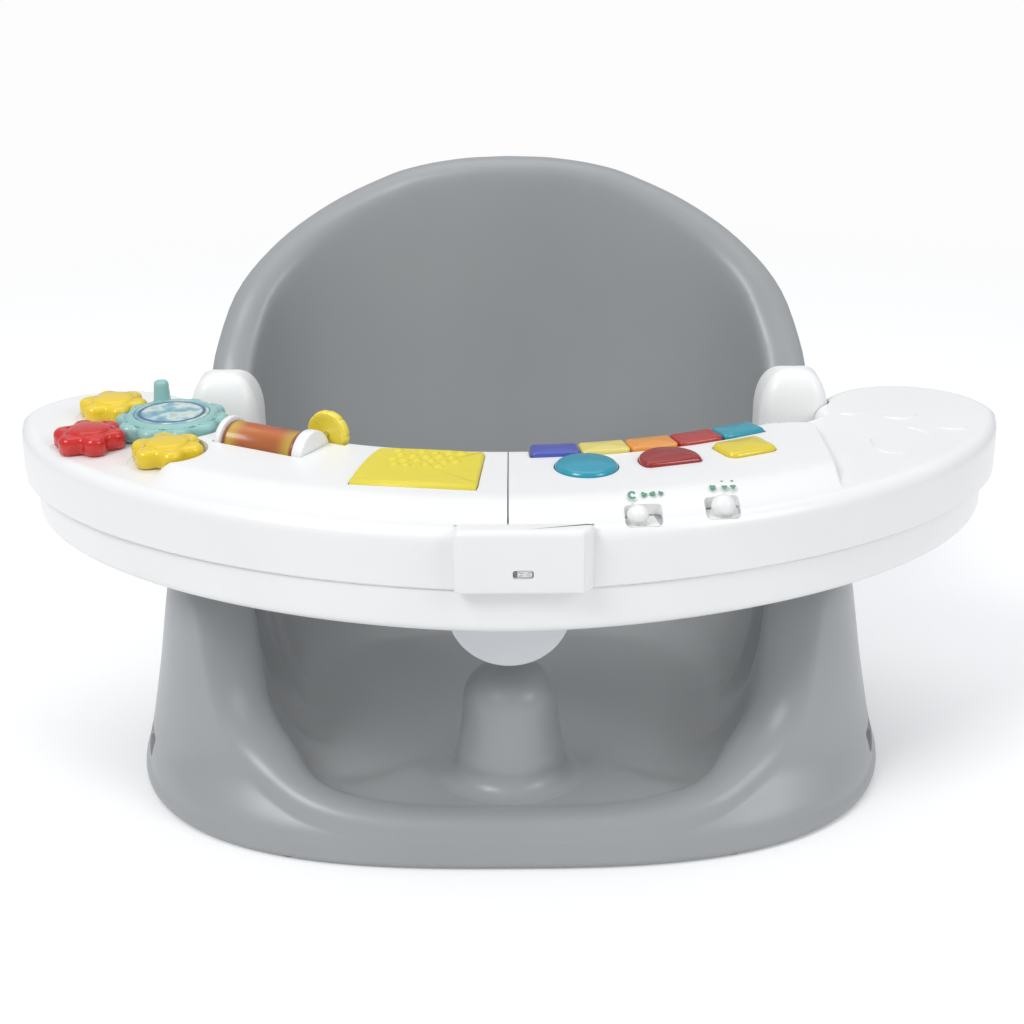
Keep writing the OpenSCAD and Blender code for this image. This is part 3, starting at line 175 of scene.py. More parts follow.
def smooth(mesh, sharp):
    """Smooth faces, with the edges above an angle kept crisp."""
    mesh.polygons.foreach_set("use_smooth", [True] * len(mesh.polygons))
    mesh.set_sharp_from_angle(angle=rad(sharp))


def finish_piece(obj, material, body, *nodes):
    obj.data.materials.clear()
    obj.data.materials.append(material)
    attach(obj, body)
    if nodes:
        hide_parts(*nodes)


class Shape:
    """Points and faces in millimetres, which end up as one mesh."""

    def __init__(self, place=None):
        self.points = []
        self.faces = []
        self.place = place or Matrix.Identity(4)

    def ring(self, points):
        start = len(self.points)
        self.points.extend(self.place @ Vector(p) for p in points)
        return list(range(start, start + len(points)))

    def band(self, a, b):
        n = len(a)
        self.faces += [(a[i], a[(i + 1) % n], b[(i + 1) % n], b[i]) for i in range(n)]

    def loft(self, rings, first="face", last="face"):
        """Skins the rings, and closes each end with a "face", a "point" or not (None)."""
        ids = [self.ring(r) for r in rings]
        for a, b in zip(ids, ids[1:]):
            self.band(a, b)
        for end, loop in ((first, ids[0][::-1]), (last, ids[-1])):
            n = len(loop)
            if end == "face":
                self.faces.append(tuple(loop))
            elif end == "point":
                self.points.append(sum([self.points[k] for k in loop], Vector()) / n)
                tip = len(self.points) - 1
                self.faces += [(loop[i], loop[(i + 1) % n], tip) for i in range(n)]
        return ids

    def column(self, outline, z0, z1):
        self.loft([at_z(outline, z0), at_z(outline, z1)])

    def revolve(self, profile, n=64):
        """Turns (radius, height) points about the local Z axis."""
        self.loft([at_z(circle(max(r, 1e-3), n), z) for r, z in profile])

    def box(self, low, high):
        x0, y0, z0 = low
        x1, y1, z1 = high
        self.column([(x0, y0), (x1, y0), (x1, y1), (x0, y1)], z0, z1)

    def make(self, name, sharp=35, origin=None, turned=False):
        """The Blender object. Edges above the angle sharp stay crisp; turned makes faces look outwards."""
        at = Vector(origin) if origin else Vector()
        mesh = bpy.data.meshes.new(name)
        mesh.from_pydata([(p - at) * MM for p in self.points], [], self.faces)
        mesh.validate()
        smooth(mesh, sharp)
        obj = bpy.data.objects.new(name, mesh)
        bpy.context.scene.collection.objects.link(obj)
        obj.location = at * MM
        bpy.context.view_layer.update()
        if turned:
            flip(obj)
        return obj

    def piece(self, name, material, body, *nodes, sharp=35, turned=True):
        """Makes the object and finishes it."""
        finish_piece(self.make(name, sharp, turned=turned), material, body, *nodes)


def inset(outline, d):
    """The outline moved inwards by d, along the mean of its neighbours' normals."""
    p = np.array(outline, float)
    t = np.roll(p, -1, axis=0) - np.roll(p, 1, axis=0)
    t /= np.maximum(np.linalg.norm(t, axis=1, keepdims=True), 1e-9)
    return [tuple(q) for q in p + d * np.stack([-t[:, 1], t[:, 0]], axis=1)]


def round_rect(w, d, r, n=8):
    """A rectangle with round corners, anticlockwise from its right side; r is one radius, or four."""
    radii = r if isinstance(r, tuple) else (r,) * 4
    pts = []
    for k, (sx, sy) in enumerate(((1, 1), (-1, 1), (-1, -1), (1, -1))):
        q = radii[k]
        for i in range(n + 1):
            x, y = polar(q, 90 * k + 90 * i / n)
            pts.append((sx * (w / 2 - q) + x, sy * (d / 2 - q) + y))
    return pts


def pillow(shape, outline, z0, z1, edge, dome=0.0):
    """A slab over an outline, with a rounded upper edge and a domed top."""
    rings = [at_z(outline, z0)]
    rings += [at_z(inset(outline, edge * c), z1 - edge + edge * s) for c, s in quarter(7)]
    top = inset(outline, edge + 0.5)
    rings.append(at_z(top, z1))
    cx, cy = np.mean(top, axis=0)
    for s in (0.8, 0.6, 0.4, 0.2):
        rings.append([(lerp(cx, x, s), lerp(cy, y, s), z1 + dome * (1 - s * s)) for x, y in top])
    shape.loft(rings, last="point")


def column_cutter(place, outline, z0, z1, turned=False):
    shape = Shape(place)
    shape.column(outline, z0, z1)
    return shape.make("cutter", turned=turned)


def box_cutter(place, low, high):
    shape = Shape(place)
    shape.box(low, high)
    return shape.make("cutter")


def cut(obj, cutters, sharp=35):
    """Takes the cutters' shapes out of obj and throws the cutters away."""
    for i, tool in enumerate(cutters):
        mod = obj.modifiers.new("cut%d" % i, "BOOLEAN")
        mod.operation = "DIFFERENCE"
        mod.solver = "EXACT"
        mod.object = tool
    bpy.context.view_layer.update()
    deps = bpy.context.evaluated_depsgraph_get()
    mesh = bpy.data.meshes.new_from_object(obj.evaluated_get(deps))
    obj.modifiers.clear()
    obj.data = mesh
    smooth(mesh, sharp)
    for tool in cutters:
        bpy.data.objects.remove(tool)


def spin(a, axis):
    return Matrix.Rotation(rad(a), 4, axis)


def shift(x=0.0, y=0.0, z=0.0, turn=0.0):
    """A place in the tray's frame, turned about Z."""
    return Matrix.Translation((x, WIDEST_Y + y, z)) @ spin(turn, "Z")


def on_arc(a, r, z=0.0):
    """A place along the inner edge: an angle from the middle, and a radius."""
    return shift(0, INNER_CY) @ spin(a, "Z") @ Matrix.Translation((0, -r, z))


# ----------------------------------------------------------------- materials
def feed(tree, node, inputs):
    """Joins each input to an output, or sets it to a value."""
    for key, value in inputs.items():
        if isinstance(value, bpy.types.NodeSocket):
            tree.links.new(value, node.inputs[key])
        else:
            node.inputs[key].default_value = value


def node_of(tree, kind, inputs=None, **values):
    node = tree.nodes.new(kind)
    for key, value in values.items():
        setattr(node, key, value)
    feed(tree, node, inputs or {})
    return node


def coords_of(tree):
    return node_of(tree, "ShaderNodeTexCoord").outputs["Object"]


def noise(tree, coords, scale, detail):
    tex = node_of(tree, "ShaderNodeTexNoise", {"Scale": scale, "Detail": detail, "Vector": coords})
    return tex.outputs["Fac"]


def ramp(tree, value, stops):
    node = node_of(tree, "ShaderNodeValToRGB", {"Fac": value})
    bar = node.color_ramp
    while len(bar.elements) < len(stops):
        bar.elements.new(0.5)
    for element, (at, colour) in zip(bar.elements, stops):
        element.position = at
        element.color = (*colour, 1)
    return node.outputs["Color"]


def blend(tree, factor, under, over):
    """A constant colour laid over another by a factor."""
    mix = node_of(tree, "ShaderNodeMix", {"Factor": factor, "A": under, "B": (*over, 1)}, data_type="RGBA")
    return mix.outputs["Result"]


def seen_by(tree, *rays):
    """1 where a ray is of one of two kinds, and 0 elsewhere."""
    path = node_of(tree, "ShaderNodeLightPath")
    return node_of(tree, "ShaderNodeMath", {i: path.outputs[r] for i, r in enumerate(rays)},
                   operation="MAXIMUM").outputs[0]


def linear(*srgb):
    """Linear colour from 0-255 display values."""
    return tuple(((c / 255 + 0.055) / 1.055) ** 2.4 if c > 10 else c / 255 / 12.92 for c in srgb)


def surface(name, srgb, rough=0.35, vary=0.05, grain=0.08, grain_size=0.8, coat=0.0, edge=0.5, metal=0.0,
            flow=14):
    """Moulded plastic: a slow drift of tone, uneven gloss, fine grain, and rounded small edges."""
    mat = bpy.data.materials.new(name)
    mat.use_nodes = True
    tree = mat.node_tree
    coords = coords_of(tree)
    dark, light = (tuple(clamp(c * k) for c in linear(*srgb)) for k in (1 - vary, 1 + vary))
    gloss = node_of(tree, "ShaderNodeMapRange", {"To Min": rough * 0.88, "To Max": min(rough * 1.14, 1),
                                                 "Value": noise(tree, coords, 70, 4)})
    bump = node_of(tree, "ShaderNodeBump", {"Strength": grain, "Distance": 0.0004,
                                            "Height": noise(tree, coords, 1000 / grain_size, 3)})
    if edge:
        bevel = node_of(tree, "ShaderNodeBevel", {"Radius": edge * MM}, samples=4)
        feed(tree, bump, {"Normal": bevel.outputs["Normal"]})
    feed(tree, tree.nodes["Principled BSDF"], {
        "Base Color": ramp(tree, noise(tree, coords, flow, 3), [(0.3, dark), (0.7, light)]),
        "Roughness": gloss.outputs["Result"], "Normal": bump.outputs["Normal"], "Metallic": metal,
        "Coat Weight": coat, "Coat Roughness": 0.12})
    return mat


TUB_GREY = surface("tub_grey", (158, 160, 161), 0.31, 0.035, 0.10, 0.7, edge=0.9, flow=9)
WHITE = surface("white_plastic", (240, 240, 239), 0.30, 0.018, 0.05, 1.1, edge=0.7, coat=0.15)
CLIP_WHITE = surface("clip_white", (244, 244, 242), 0.34, 0.02, 0.06, edge=0.8)
LEVER_WHITE = surface("lever_white", (226, 228, 230), 0.42, 0.02, 0.1)
KNOB_WHITE = surface("knob_white", (241, 241, 239), 0.26, 0.02, 0.03, edge=0.4, coat=0.2)
RUBBER = surface("foot_rubber", (116, 118, 120), 0.8, 0.12, 0.3, 0.5)
STEEL = surface("zinc_steel", (212.23, 213.65, 217.85), 0.3, 0.12, 0.05, metal=1.0, flow=120)
TEAL = surface("gear_teal", (148, 194, 190), 0.3, grain=0.05, edge=0.6, coat=0.2)
YELLOW = surface("gear_yellow", (236, 204, 34), 0.26, grain=0.04, edge=0.6, coat=0.4)
RED = surface("gear_red", (204, 28, 24), 0.26, grain=0.04, edge=0.6, coat=0.4)
WHEEL_YELLOW = surface("wheel_yellow", (238, 218, 76), 0.28, grain=0.04, coat=0.3)
FLAP_YELLOW = surface("flap_yellow", (228, 212, 66), 0.4, grain=0.12, grain_size=0.9)
BOARD = surface("board_green", (40, 120, 75), 0.45, 0.15, 0.1, flow=60)
SILICONE = surface("silicone", (214, 216, 219), 0.5, 0.04)
BLACK = surface("speaker_black", (48, 50, 55), 0.6, 0.1, 0.2)
CELL = surface("cell_sleeve", (70, 105, 140), 0.32, 0.08, 0.04, coat=0.3)
BEAD = surface("bead_brown", (150, 60, 26), 0.2, 0.1, 0.02, coat=0.4)
ICON = surface("icon_green", (104, 160, 132), 0.45, 0.06, 0.05, edge=0)
KEY_COLOURS = {"key_violet": (72, 84, 176), "key_pale": (228, 212, 116), "key_orange": (230, 152, 60),
               "key_red": (176, 46, 42), "key_teal": (34, 150, 172)}
KEYS = [surface(n, c, 0.22, grain=0.03, edge=0.4, coat=0.5) for n, c in KEY_COLOURS.items()]
BUTTON_COLOURS = {"button_teal": (30, 150, 174), "button_red": (154, 28, 26), "button_yellow": (226, 204, 44)}
BUTTONS = [surface(n, c, 0.2, grain=0.03, edge=0.4, coat=0.5) for n, c in BUTTON_COLOURS.items()]


def amber_shell():
    """Amber tube: brown and orange-red round about, olive towards its ends, brown at the ends."""
    mat = surface("roller_amber", (222, 120, 30), 0.3, 0.08, 0.03, coat=0.25, edge=0.4)
    tree = mat.node_tree
    split = node_of(tree, "ShaderNodeSeparateXYZ", {"Vector": coords_of(tree)}).outputs
    about = node_of(tree, "ShaderNodeMath", {0: split["Y"], 1: split["Z"]}, operation="ARCTAN2").outputs[0]
    wave = node_of(tree, "ShaderNodeMath", {0: about, 1: 1 / math.pi, 2: 0.5}, operation="MULTIPLY_ADD")
    away = node_of(tree, "ShaderNodeMath", {0: split["X"]}, operation="ABSOLUTE").outputs[0]
    olive = linear(204, 172, 66)

    def beyond(start, stop, kind="LINEAR"):
        """0 up to start and 1 from stop, along the roller from its middle."""
        reach = {"From Min": start * MM, "From Max": stop * MM, "Value": away}
        return node_of(tree, "ShaderNodeMapRange", reach, interpolation_type=kind).outputs["Result"]

    hue = ramp(tree, wave.outputs[0], [(0.22, linear(176, 96, 44)), (0.36, linear(202, 116, 60)),
                                       (0.5, linear(186, 84, 44)), (0.62, linear(196, 140, 60)),
                                       (0.72, olive)])
    hue = blend(tree, beyond(ROLLER_L * 0.22, ROLLER_L * 0.46, "SMOOTHSTEP"), hue, olive)
    hue = blend(tree, beyond(ROLLER_L / 2 - 3.2, ROLLER_L / 2 - 1.6), hue, linear(150, 72, 24))
    feed(tree, tree.nodes["Principled BSDF"], {"Base Color": hue, "Transmission Weight": 0.1})
    return mat


def gear_label():
    """A plain generic label: mottled grey blue, light patches, and a dark ring near its edge."""
    mat = surface("gear_label", (160, 196, 206), 0.32, 0.04, 0.03, coat=0.3, edge=0.3)
    tree = mat.node_tree
    coords = coords_of(tree)
    tones = ((0.38, (116, 158, 176)), (0.48, (150, 188, 200)), (0.56, (214, 226, 218)),
             (0.66, (176, 200, 190)))
    patches = ramp(tree, noise(tree, coords, 85, 3), [(at, linear(*tone)) for at, tone in tones])
    length = node_of(tree, "ShaderNodeVectorMath", {0: coords}, operation="LENGTH").outputs["Value"]
    share = node_of(tree, "ShaderNodeMapRange", {"From Max": DISC_R * MM, "Value": length}).outputs["Result"]
    band = ((0, 0), (0.80, 0), (0.84, 1), (0.90, 1), (0.94, 0))
    ring = ramp(tree, share, [(at, (on, on, on)) for at, on in band])
    feed(tree, tree.nodes["Principled BSDF"], {"Base Color": blend(tree, ring, patches, linear(58, 98, 134))})
    return mat


AMBER = amber_shell()
LABEL = gear_label()
CAD_MATERIALS = {
    RUBBER: ("foot_pads",),
    STEEL: ("clip_screws", "lever_pin", "lever_spring", "base_screws", "gear_pins", "click_axle", "flap_pin",
            "battery_contacts", "door_screw"),
    WHITE: ("toy_left_base", "toy_right_base", "battery_door", "roller_caps"),
    BEAD: ("roller_beads",),
    BOARD: ("circuit_board",),
    SILICONE: ("key_sheet",),
    BLACK: ("speaker",),
    CELL: ("batteries",),
}
for material, names in CAD_MATERIALS.items():
    for name in names:
        NODES[name].data.materials.clear()
        NODES[name].data.materials.append(material)


# ------------------------------------------------------------------ seat tub
LIP_LOOK = LIP_H - 8                    # the lip is drawn lower than the solid's
BACK_RISE = (BACK_H - ARM_TOP) / 173.4
FLOOR_CY, FLOOR_HALF, FLOOR_FRONT, FLOOR_BACK = BASE_CY - 3.5, 112, 108, 80
FRONT_END, BACK_START = 84, 96          # the wall's front and back ovals blend between these angles
RECESS_START, RECESS_END = 75, 79       # and the flank steps in between these
WALL_LOW = 12                           # the wall's straight part starts at this height
FRONT_LOW, BACK_LOW = BASE_CY - BASE_D / 2, BASE_CY + BASE_D / 2
RIM_POINTS = [(a, LIP_LOOK + h) for a, h in (
    (0, 0), (14, 0.4), (22, 1.2), (28, 3), (32, 5), (36, 7.8), (41, 13), (46, 20.5), (49, 27))]
RIM_POINTS += [(a, LIP_H + h) for a, h in ((51, 26), (52.8, 36), (54, 51), (55, 69), (55.8, 84))]
RIM_POINTS += [(57, ARM_TOP - 5), (59, ARM_TOP), (84, ARM_TOP)]
RIM_POINTS += [(a, ARM_TOP + h * BACK_RISE) for a, h in (
    (87, 1.5), (89, 8.4), (91, 24), (93.5, 43), (97, 66), (103, 87), (108.6, 106), (116, 123.4), (124, 139),
    (132.7, 152), (140, 160), (147, 166), (157, 170.4), (168, 172.7))] + [(180, BACK_H)]


def grown(base, steps, blur):
    """A curve over the height, written as steps from a base value."""
    return curve([(z, base + d) for z, d in steps], blur)


rim_height = curve(RIM_POINTS, 0.5)
out_half = curve([(0, BASE_W / 2), (12.5, BASE_W / 2 - 3), (34, BASE_W / 2 - 7), (61, BASE_W / 2 - 13),
                  (101, lerp(RIM_W, BASE_W, 0.4) / 2), (134, lerp(RIM_W, BASE_W, 0.24) / 2),
                  (165, RIM_W / 2 + 1), (200, RIM_W / 2), (320, RIM_W / 2)], 5)
out_centre = grown(BASE_CY, ((0, 0), (34, 2.5), (61, 6.5), (101, 13.5), (134, 19.5), (165, 28.5), (200, 36.5),
                             (320, 38.5)), 6)
out_front = grown(FRONT_LOW, ((0, 0), (12.5, 2.5), (34, 24), (61, 37), (101, 50), (134, 56), (320, 57)), 4)
out_back = grown(BACK_LOW, ((0, 0), (12.5, -2), (34, -8), (61, -11), (101, -14), (134, -16), (200, -18),
                            (320, -20)), 6)
power_front = curve([(0, 2.8), (34, 3.1), (61, 3.7), (101, 4.6), (134, 5)], 4)
power_back = curve([(0, 2.8), (60, 2.6)])
recess_depth = curve([(0, 0), (22, 0), (32, 1), (90, 0.92), (134, 0.82), (150, 0.55), (165, 0.22),
                      (195, 0)], 2)
rim_width = curve([(0, 20), (30, 21), (40, 26), (47, 33), (60, 34), (78, 32), (88, 28), (97, 26.5), (110, 26),
                   (180, 26)], 2)
inner_u = curve([(0, 0), (0.2, 0.05), (0.4, 0.2), (0.6, 0.4), (0.8, 0.66), (1, 1)])
inner_lift = curve([(0, 1), (0.2, 0.72), (0.4, 0.44), (0.6, 0.2), (0.8, 0.06), (1, 0)])


def oval_r(a, half, depth, power):
    return (abs(math.sin(rad(a)) / half) ** power + abs(math.cos(rad(a)) / depth) ** power) ** (-1 / power)


def at_angle(a, r, cy, z):
    """A point at an angle from the front, round a centre line."""
    return np.array([r * math.sin(rad(a)), cy - r * math.cos(rad(a)), z])


def side(a):
    return 360 - a if a > 180 else a


def out_r(a, z):
    s = side(a)
    front = oval_r(a, out_half(z), out_centre(z) - out_front(z), power_front(z))
    back = oval_r(a, out_half(z), out_back(z) - out_centre(z), power_back(z))
    recess = FLANK_RECESS * ease((s - RECESS_START) / (RECESS_END - RECESS_START)) * recess_depth(z)
    return lerp(front, back, ease((s - FRONT_END) / (BACK_START - FRONT_END))) - recess


def wall_point(a, d, z, up=0.0):
    """A point on the outer wall, moved out by d and then up."""
    return at_angle(a, out_r(a, z) + d, out_centre(z), z + up)


def foot_point(a, d, z):
    return at_angle(a, out_r(a, 0) + d, BASE_CY, z)


def lip_share(a):
    """1 at the front lip, where the floor rises gently to it, and 0 from the arms back."""
    return 1 - ease((side(a) - 28) / 17)


def floor_point(a, grow, z):
    depth = lerp(FLOOR_FRONT, FLOOR_BACK, ease((side(a) - 70) / 40)) - 40 * lip_share(a)
    return at_angle(a, oval_r(a, FLOOR_HALF + grow, depth + grow, 2.4), FLOOR_CY, z)


def wall_top(a):
    return rim_height(side(a)) - RIM_ROLL


def inner_point(a, s, grow=0.0, drop=0.0):
    """On the inner skin: s runs from the rim (0) to the floor (1)."""
    z = wall_top(a)
    p = wall_point(a, grow - rim_width(side(a)), z)
    q = floor_point(a, grow, FLOOR_H)
    f = lip_share(a)
    u, lift = lerp(inner_u(s), s, f), lerp(inner_lift(s), 1 - ease(s), f)
    top = z + 0.86 * RIM_ROLL * f
    height = max(min(lerp(FLOOR_H, top, lift), top), FLOOR_H + 2 * lift * (1 - f)) - drop
    return np.array([lerp(p[0], q[0], u), lerp(p[1], q[1], u), height])


def tub_columns():
    """Angles round the tub, closest where the rim climbs."""
    steps = ((0, 42, 1.75), (42, 60, 0.5), (60, 70, 1.5), (70, 96, 0.9), (96, 180, 2.1))
    half = [a for start, stop, step in steps for a in np.arange(start, stop, step)]
    return half + [180] + [360 - a for a in half[:0:-1]]


def tub_rings(columns):
    """From the foot's edge up the wall, over the rim and down to the middle of the floor."""
    foot = [(-1.8, PAD_T), (-0.9, 1.5), (-0.2, 2.4), (0, 3.5), (-0.15, 4.8), (-0.6, 6.2), (-1.3, 7.8),
            (-2.1, 9.6)]
    rings = [[foot_point(a, d, z) for a in columns] for d, z in foot]
    soft_from = len(rings) + 6
    for k in range(23):
        rings.append([wall_point(a, 0, lerp(WALL_LOW, wall_top(a), (k / 22) ** 1.1)) for a in columns])
    for k in range(1, 18):
        c, s = polar(1, 10 * k)
        rings.append([wall_point(a, -rim_width(side(a)) * (1 - c) / 2, wall_top(a),
                                 RIM_ROLL * (s if k <= 9 else lerp(s, 0.86 + 0.14 * s, lip_share(a))))
                      for a in columns])
    rings += [[inner_point(a, k / 20) for a in columns] for k in range(21)]
    soft_to = len(rings) - 4
    # soften the section where the wall turns into the rim and the rim into the hollow
    stack = np.array(rings)
    for _ in range(4):
        stack[soft_from:soft_to] = (0.5 * stack[soft_from:soft_to] + 0.25 * stack[soft_from - 1:soft_to - 1]
                                    + 0.25 * stack[soft_from + 1:soft_to + 1])
    centre = np.array([0, FLOOR_CY, FLOOR_H])
    return list(stack) + [lerp(centre, stack[-1], s) for s in (0.86, 0.7, 0.52, 0.34, 0.17)]


def tub_under(columns):
    """The hidden skin, from the floor's underside up inside the wall and down to the foot."""
    rings = [[floor_point(a, 0, FLOOR_H - WALL) for a in columns]]
    rings += [[inner_point(a, s, WALL, WALL * 0.8) for a in columns] for s in (0.8, 0.6, 0.4, 0.2, 0.05)]
    for t in (125, 90, 55):
        c, s = polar(1, t)
        rings.append([wall_point(a, -WALL - (rim_width(side(a)) - 2 * WALL) * (1 - c) / 2, wall_top(a),
                                 -WALL - 1.5 + (RIM_ROLL - 1.5) * s) for a in columns])
    rings += [[wall_point(a, -WALL, lerp(WALL_LOW, wall_top(a) - WALL, k)) for a in columns]
              for k in (1, 0.8, 0.6, 0.4, 0.2, 0)]
    ledge = ((-WALL - 3, 5), (-17, 5), (-17, PAD_T))
    return rings + [[foot_point(a, d, z) for a in columns] for d, z in ledge]


def slot_cutter(s):
    x, y, _ = wall_point(SLOT_ANGLE, 0, SLOT_Z)
    place = Matrix.Translation((s * x, y, SLOT_Z)) @ spin(14 * s, "Z") @ spin(90, "Y")
    return column_cutter(place, round_rect(SLOT_H, SLOT_W, 3, 6), -12, 12)


def make_seat():
    columns = tub_columns()
    shape = Shape()
    outer = shape.loft(tub_rings(columns), None, "point")
    under = shape.loft(tub_under(columns)[::-1], None, "point")
    shape.band(under[0], outer[0])
    tub = shape.make("tub", turned=True)
    cut(tub, [slot_cutter(-1), slot_cutter(1)], sharp=62)

    # the crotch post, with a fillet that lies on the floor
    body = grown(POST_R, ((4, 3.4), (13, 2.0), (22, 0.6), (35, -1.4), (47, -2.5)), 0)
    fillet, foot_r, top_r, dome = 11, POST_R + 2.2, POST_R - 2.5, 20
    turns = [3.75 * k for k in range(96)]

    def on_floor(r, up):
        """A ring round the post, at a height above the tub's floor."""
        ring = []
        for a in turns:
            x, y = r * math.sin(rad(a)), POST_Y - r * math.cos(rad(a))
            hit, place, _, _ = tub.ray_cast(Vector((x, y, 60)) * MM, Vector((0, 0, -1)))
            ring.append((x, y, (place.z / MM if hit else FLOOR_H) + up))
        return ring

    rings = [on_floor(foot_r + fillet + 0.8, -0.5)]
    for k in range(11):
        c, s = polar(1, 9 * k)
        rings.append(on_floor(foot_r + fillet * (1 - s), fillet * (1 - c)))
    start = rings[-1]
    for k in range(1, 13):
        ring = []
        for a, low in zip(turns, start):
            z = lerp(low[2], POST_H - dome, k / 12)
            ring.append(at_angle(a, lerp(foot_r, body(z - FLOOR_H), ease(k / 3)), POST_Y, z))
        rings.append(ring)
    for t in range(6, 90, 6):
        c, s = polar(1, t)
        rings.append([at_angle(a, top_r * c ** 0.92, POST_Y, POST_H - dome + dome * s) for a in turns])
    post = Shape()
    post.loft(rings, None, "point")
    crotch = post.make("crotch_post", sharp=70, turned=True)
    finish_piece(tub, TUB_GREY, "tub", "seat_shell")
    finish_piece(crotch, TUB_GREY, "tub")


# ------------------------------------------------------------- tray outlines
FRONT_POWER, CONSOLE_END = 1.8, 45
MAIN = [k / 48 for k in range(39)] + [0.8 + k / 240 for k in range(28)] + [k / 48 for k in range(44, 49)]
FRONT_N, LOBE_N = 14, 22
HALF_N = 2 * (len(MAIN) + FRONT_N + LOBE_N)


def front_point(t, a, b, d):
    """On the front curve at an angle t from the middle, moved inwards by d."""
    c, s = max(math.cos(rad(t)), 0), max(math.sin(rad(t)), 0)
    x, y = a * s ** (2 / FRONT_POWER), -b * c ** (2 / FRONT_POWER)
    nx = (abs(x) / a) ** (FRONT_POWER - 1) / a
    ny = (abs(y) / b) ** (FRONT_POWER - 1) / b
    n = max(math.hypot(nx, ny), 1e-9)
    return (x - d * nx / n, y + d * ny / n)


def meet_angle(lx, lr, d):
    """Where the lobe meets the inner edge: the angle along the edge, and round the lobe."""
    r1, r2 = INNER_R + d, lr - d
    dx, dy = lx, LOBE_Y - INNER_CY
    e = math.hypot(dx, dy)
    q = (r1 * r1 - r2 * r2 + e * e) / (2 * e)
    h = math.sqrt(max(r1 * r1 - q * q, 0))
    px, py = dx / e * q + dy / e * h, INNER_CY + dy / e * q - dx / e * h
    return math.degrees(math.asin(px / r1)), math.degrees(math.atan2(py - LOBE_Y, px - lx))


def half_outline(half_w, depth, lr, d, x0):
    """The right half of the crescent, moved inwards by d and cut off at x0."""
    lx = half_w - lr
    t1 = 90 - math.degrees(math.asin(clamp(-LOBE_Y / depth) ** (FRONT_POWER / 2)))
    meet, start = meet_angle(lx, lr, d)
    start = start + 360 if start < 0 else start
    pts = [front_point(CONSOLE_END * f, half_w, depth, d) for f in MAIN]
    pts = [(max(x, x0), y) for x, y in pts]
    pts += [front_point(lerp(CONSOLE_END, t1, i / FRONT_N), half_w, depth, d) for i in range(1, FRONT_N + 1)]
    n = FRONT_N + LOBE_N
    turns = [92 * i / LOBE_N for i in range(1, LOBE_N + 1)]
    turns += [lerp(96, start - 2, i / (n - 1)) for i in range(n)]
    pts += [(lx + x, LOBE_Y + y) for x, y in (polar(lr - d, a) for a in turns)]
    q = INNER_R + d
    return pts + [(max(q * math.sin(rad(meet * f)), x0), INNER_CY - q * math.cos(rad(meet * f)))
                  for f in reversed(MAIN)]


def full_outline(half_w, depth, lr, d):
    h = half_outline(half_w, depth, lr, d, 0)
    k = HALF_N // 2
    return ([(-x, y) for x, y in h[k - 1:0:-1]] + h[:k] + h[k:HALF_N - 1]
            + [(-x, y) for x, y in h[HALF_N - 1:k - 1:-1]])


def cap_grid(shape, loop, up):
    """Closes a crescent by joining each point with its partner across."""
    n = len(loop)
    for i in range(n // 2 - 1):
        quad = (loop[i], loop[i + 1], loop[n - 2 - i], loop[n - 1 - i])
        shape.faces.append(quad if up else quad[::-1])


# -------------------------------------------------------------- feeding tray
TRAY_HALF, TRAY_LOBE = MODULE_W / 2 - TRAY_INSET, LOBE_R - TRAY_INSET


def notch_cutter(s, z0):
    """Room for an ear, open to the back, with a round front outer corner."""
    x0, x1, y0, r = CLIP_X - CLIP_W / 2 - 12, CLIP_X + CLIP_W / 2 + 0.5, CLIP_Y - 0.5, 9.5
    outline = [(x0, y0 + 90), (x0, y0)]
    outline += [(x1 - r + x, y0 + r + y) for x, y in (polar(r, a - 90) for a in range(0, 91, 10))]
    outline.append((x1, y0 + 90))
    return column_cutter(shift(), [(s * x, y) for x, y in outline], z0, z0 + 80, turned=True)


def foot_cutter(s):
    x0, x1 = sorted((s * (CLIP_X - 14), s * (CLIP_X + 48)))
    return box_cutter(shift(), (x0, -64, DISH_Z), (x1, 28, DISH_Z + 40))


def make_tray():
    shape = Shape(shift())

    def ring(d, z):
        return at_z(full_outline(TRAY_HALF, MODULE_D - 1, TRAY_LOBE, d), z)

    rings = [ring(SHELL_T + 3, DISH_Z - SHELL_T), ring(SHELL_T + 2, TRAY_Z), ring(4.6, TRAY_Z)]
    rings += [ring(4.4 * (1 - s), TRAY_Z + 5.6 * c) for c, s in quarter(8)]
    rings.append(ring(0, MODULE_Z - 9))
    rings += [ring(1.8 * c, MODULE_Z - 1.8 + 1.8 * s) for c, s in quarter(5)]
    rings += [ring(d, z) for d, z in ((4.4, MODULE_Z), (4.9, MODULE_Z - 0.4), (7.0, DISH_Z + 1.5),
                                      (7.6, DISH_Z + 0.5), (9, DISH_Z))]
    ids = shape.loft(rings, None, None)
    cap_grid(shape, ids[0], False)
    cap_grid(shape, ids[-1], True)
    tray = shape.make("tray", turned=True)
    cut(tray, [notch_cutter(-1, TRAY_Z - 5), notch_cutter(1, TRAY_Z - 5), foot_cutter(-1), foot_cutter(1)])
    for s in (-1, 1):
        lug = Shape(shift(s * (LEVER_R - 8), HINGE_Y, TRAY_Z + 0.5) @ spin(90, "Y"))
        lug.column([(-x - 5.2, y) for x, y in round_rect(10.5, 10, 3, 6)][::-1], -2, 2)
        lug.piece("lever_lug", WHITE, "tray")
    finish_piece(tray, WHITE, "tray", "feeding_tray")


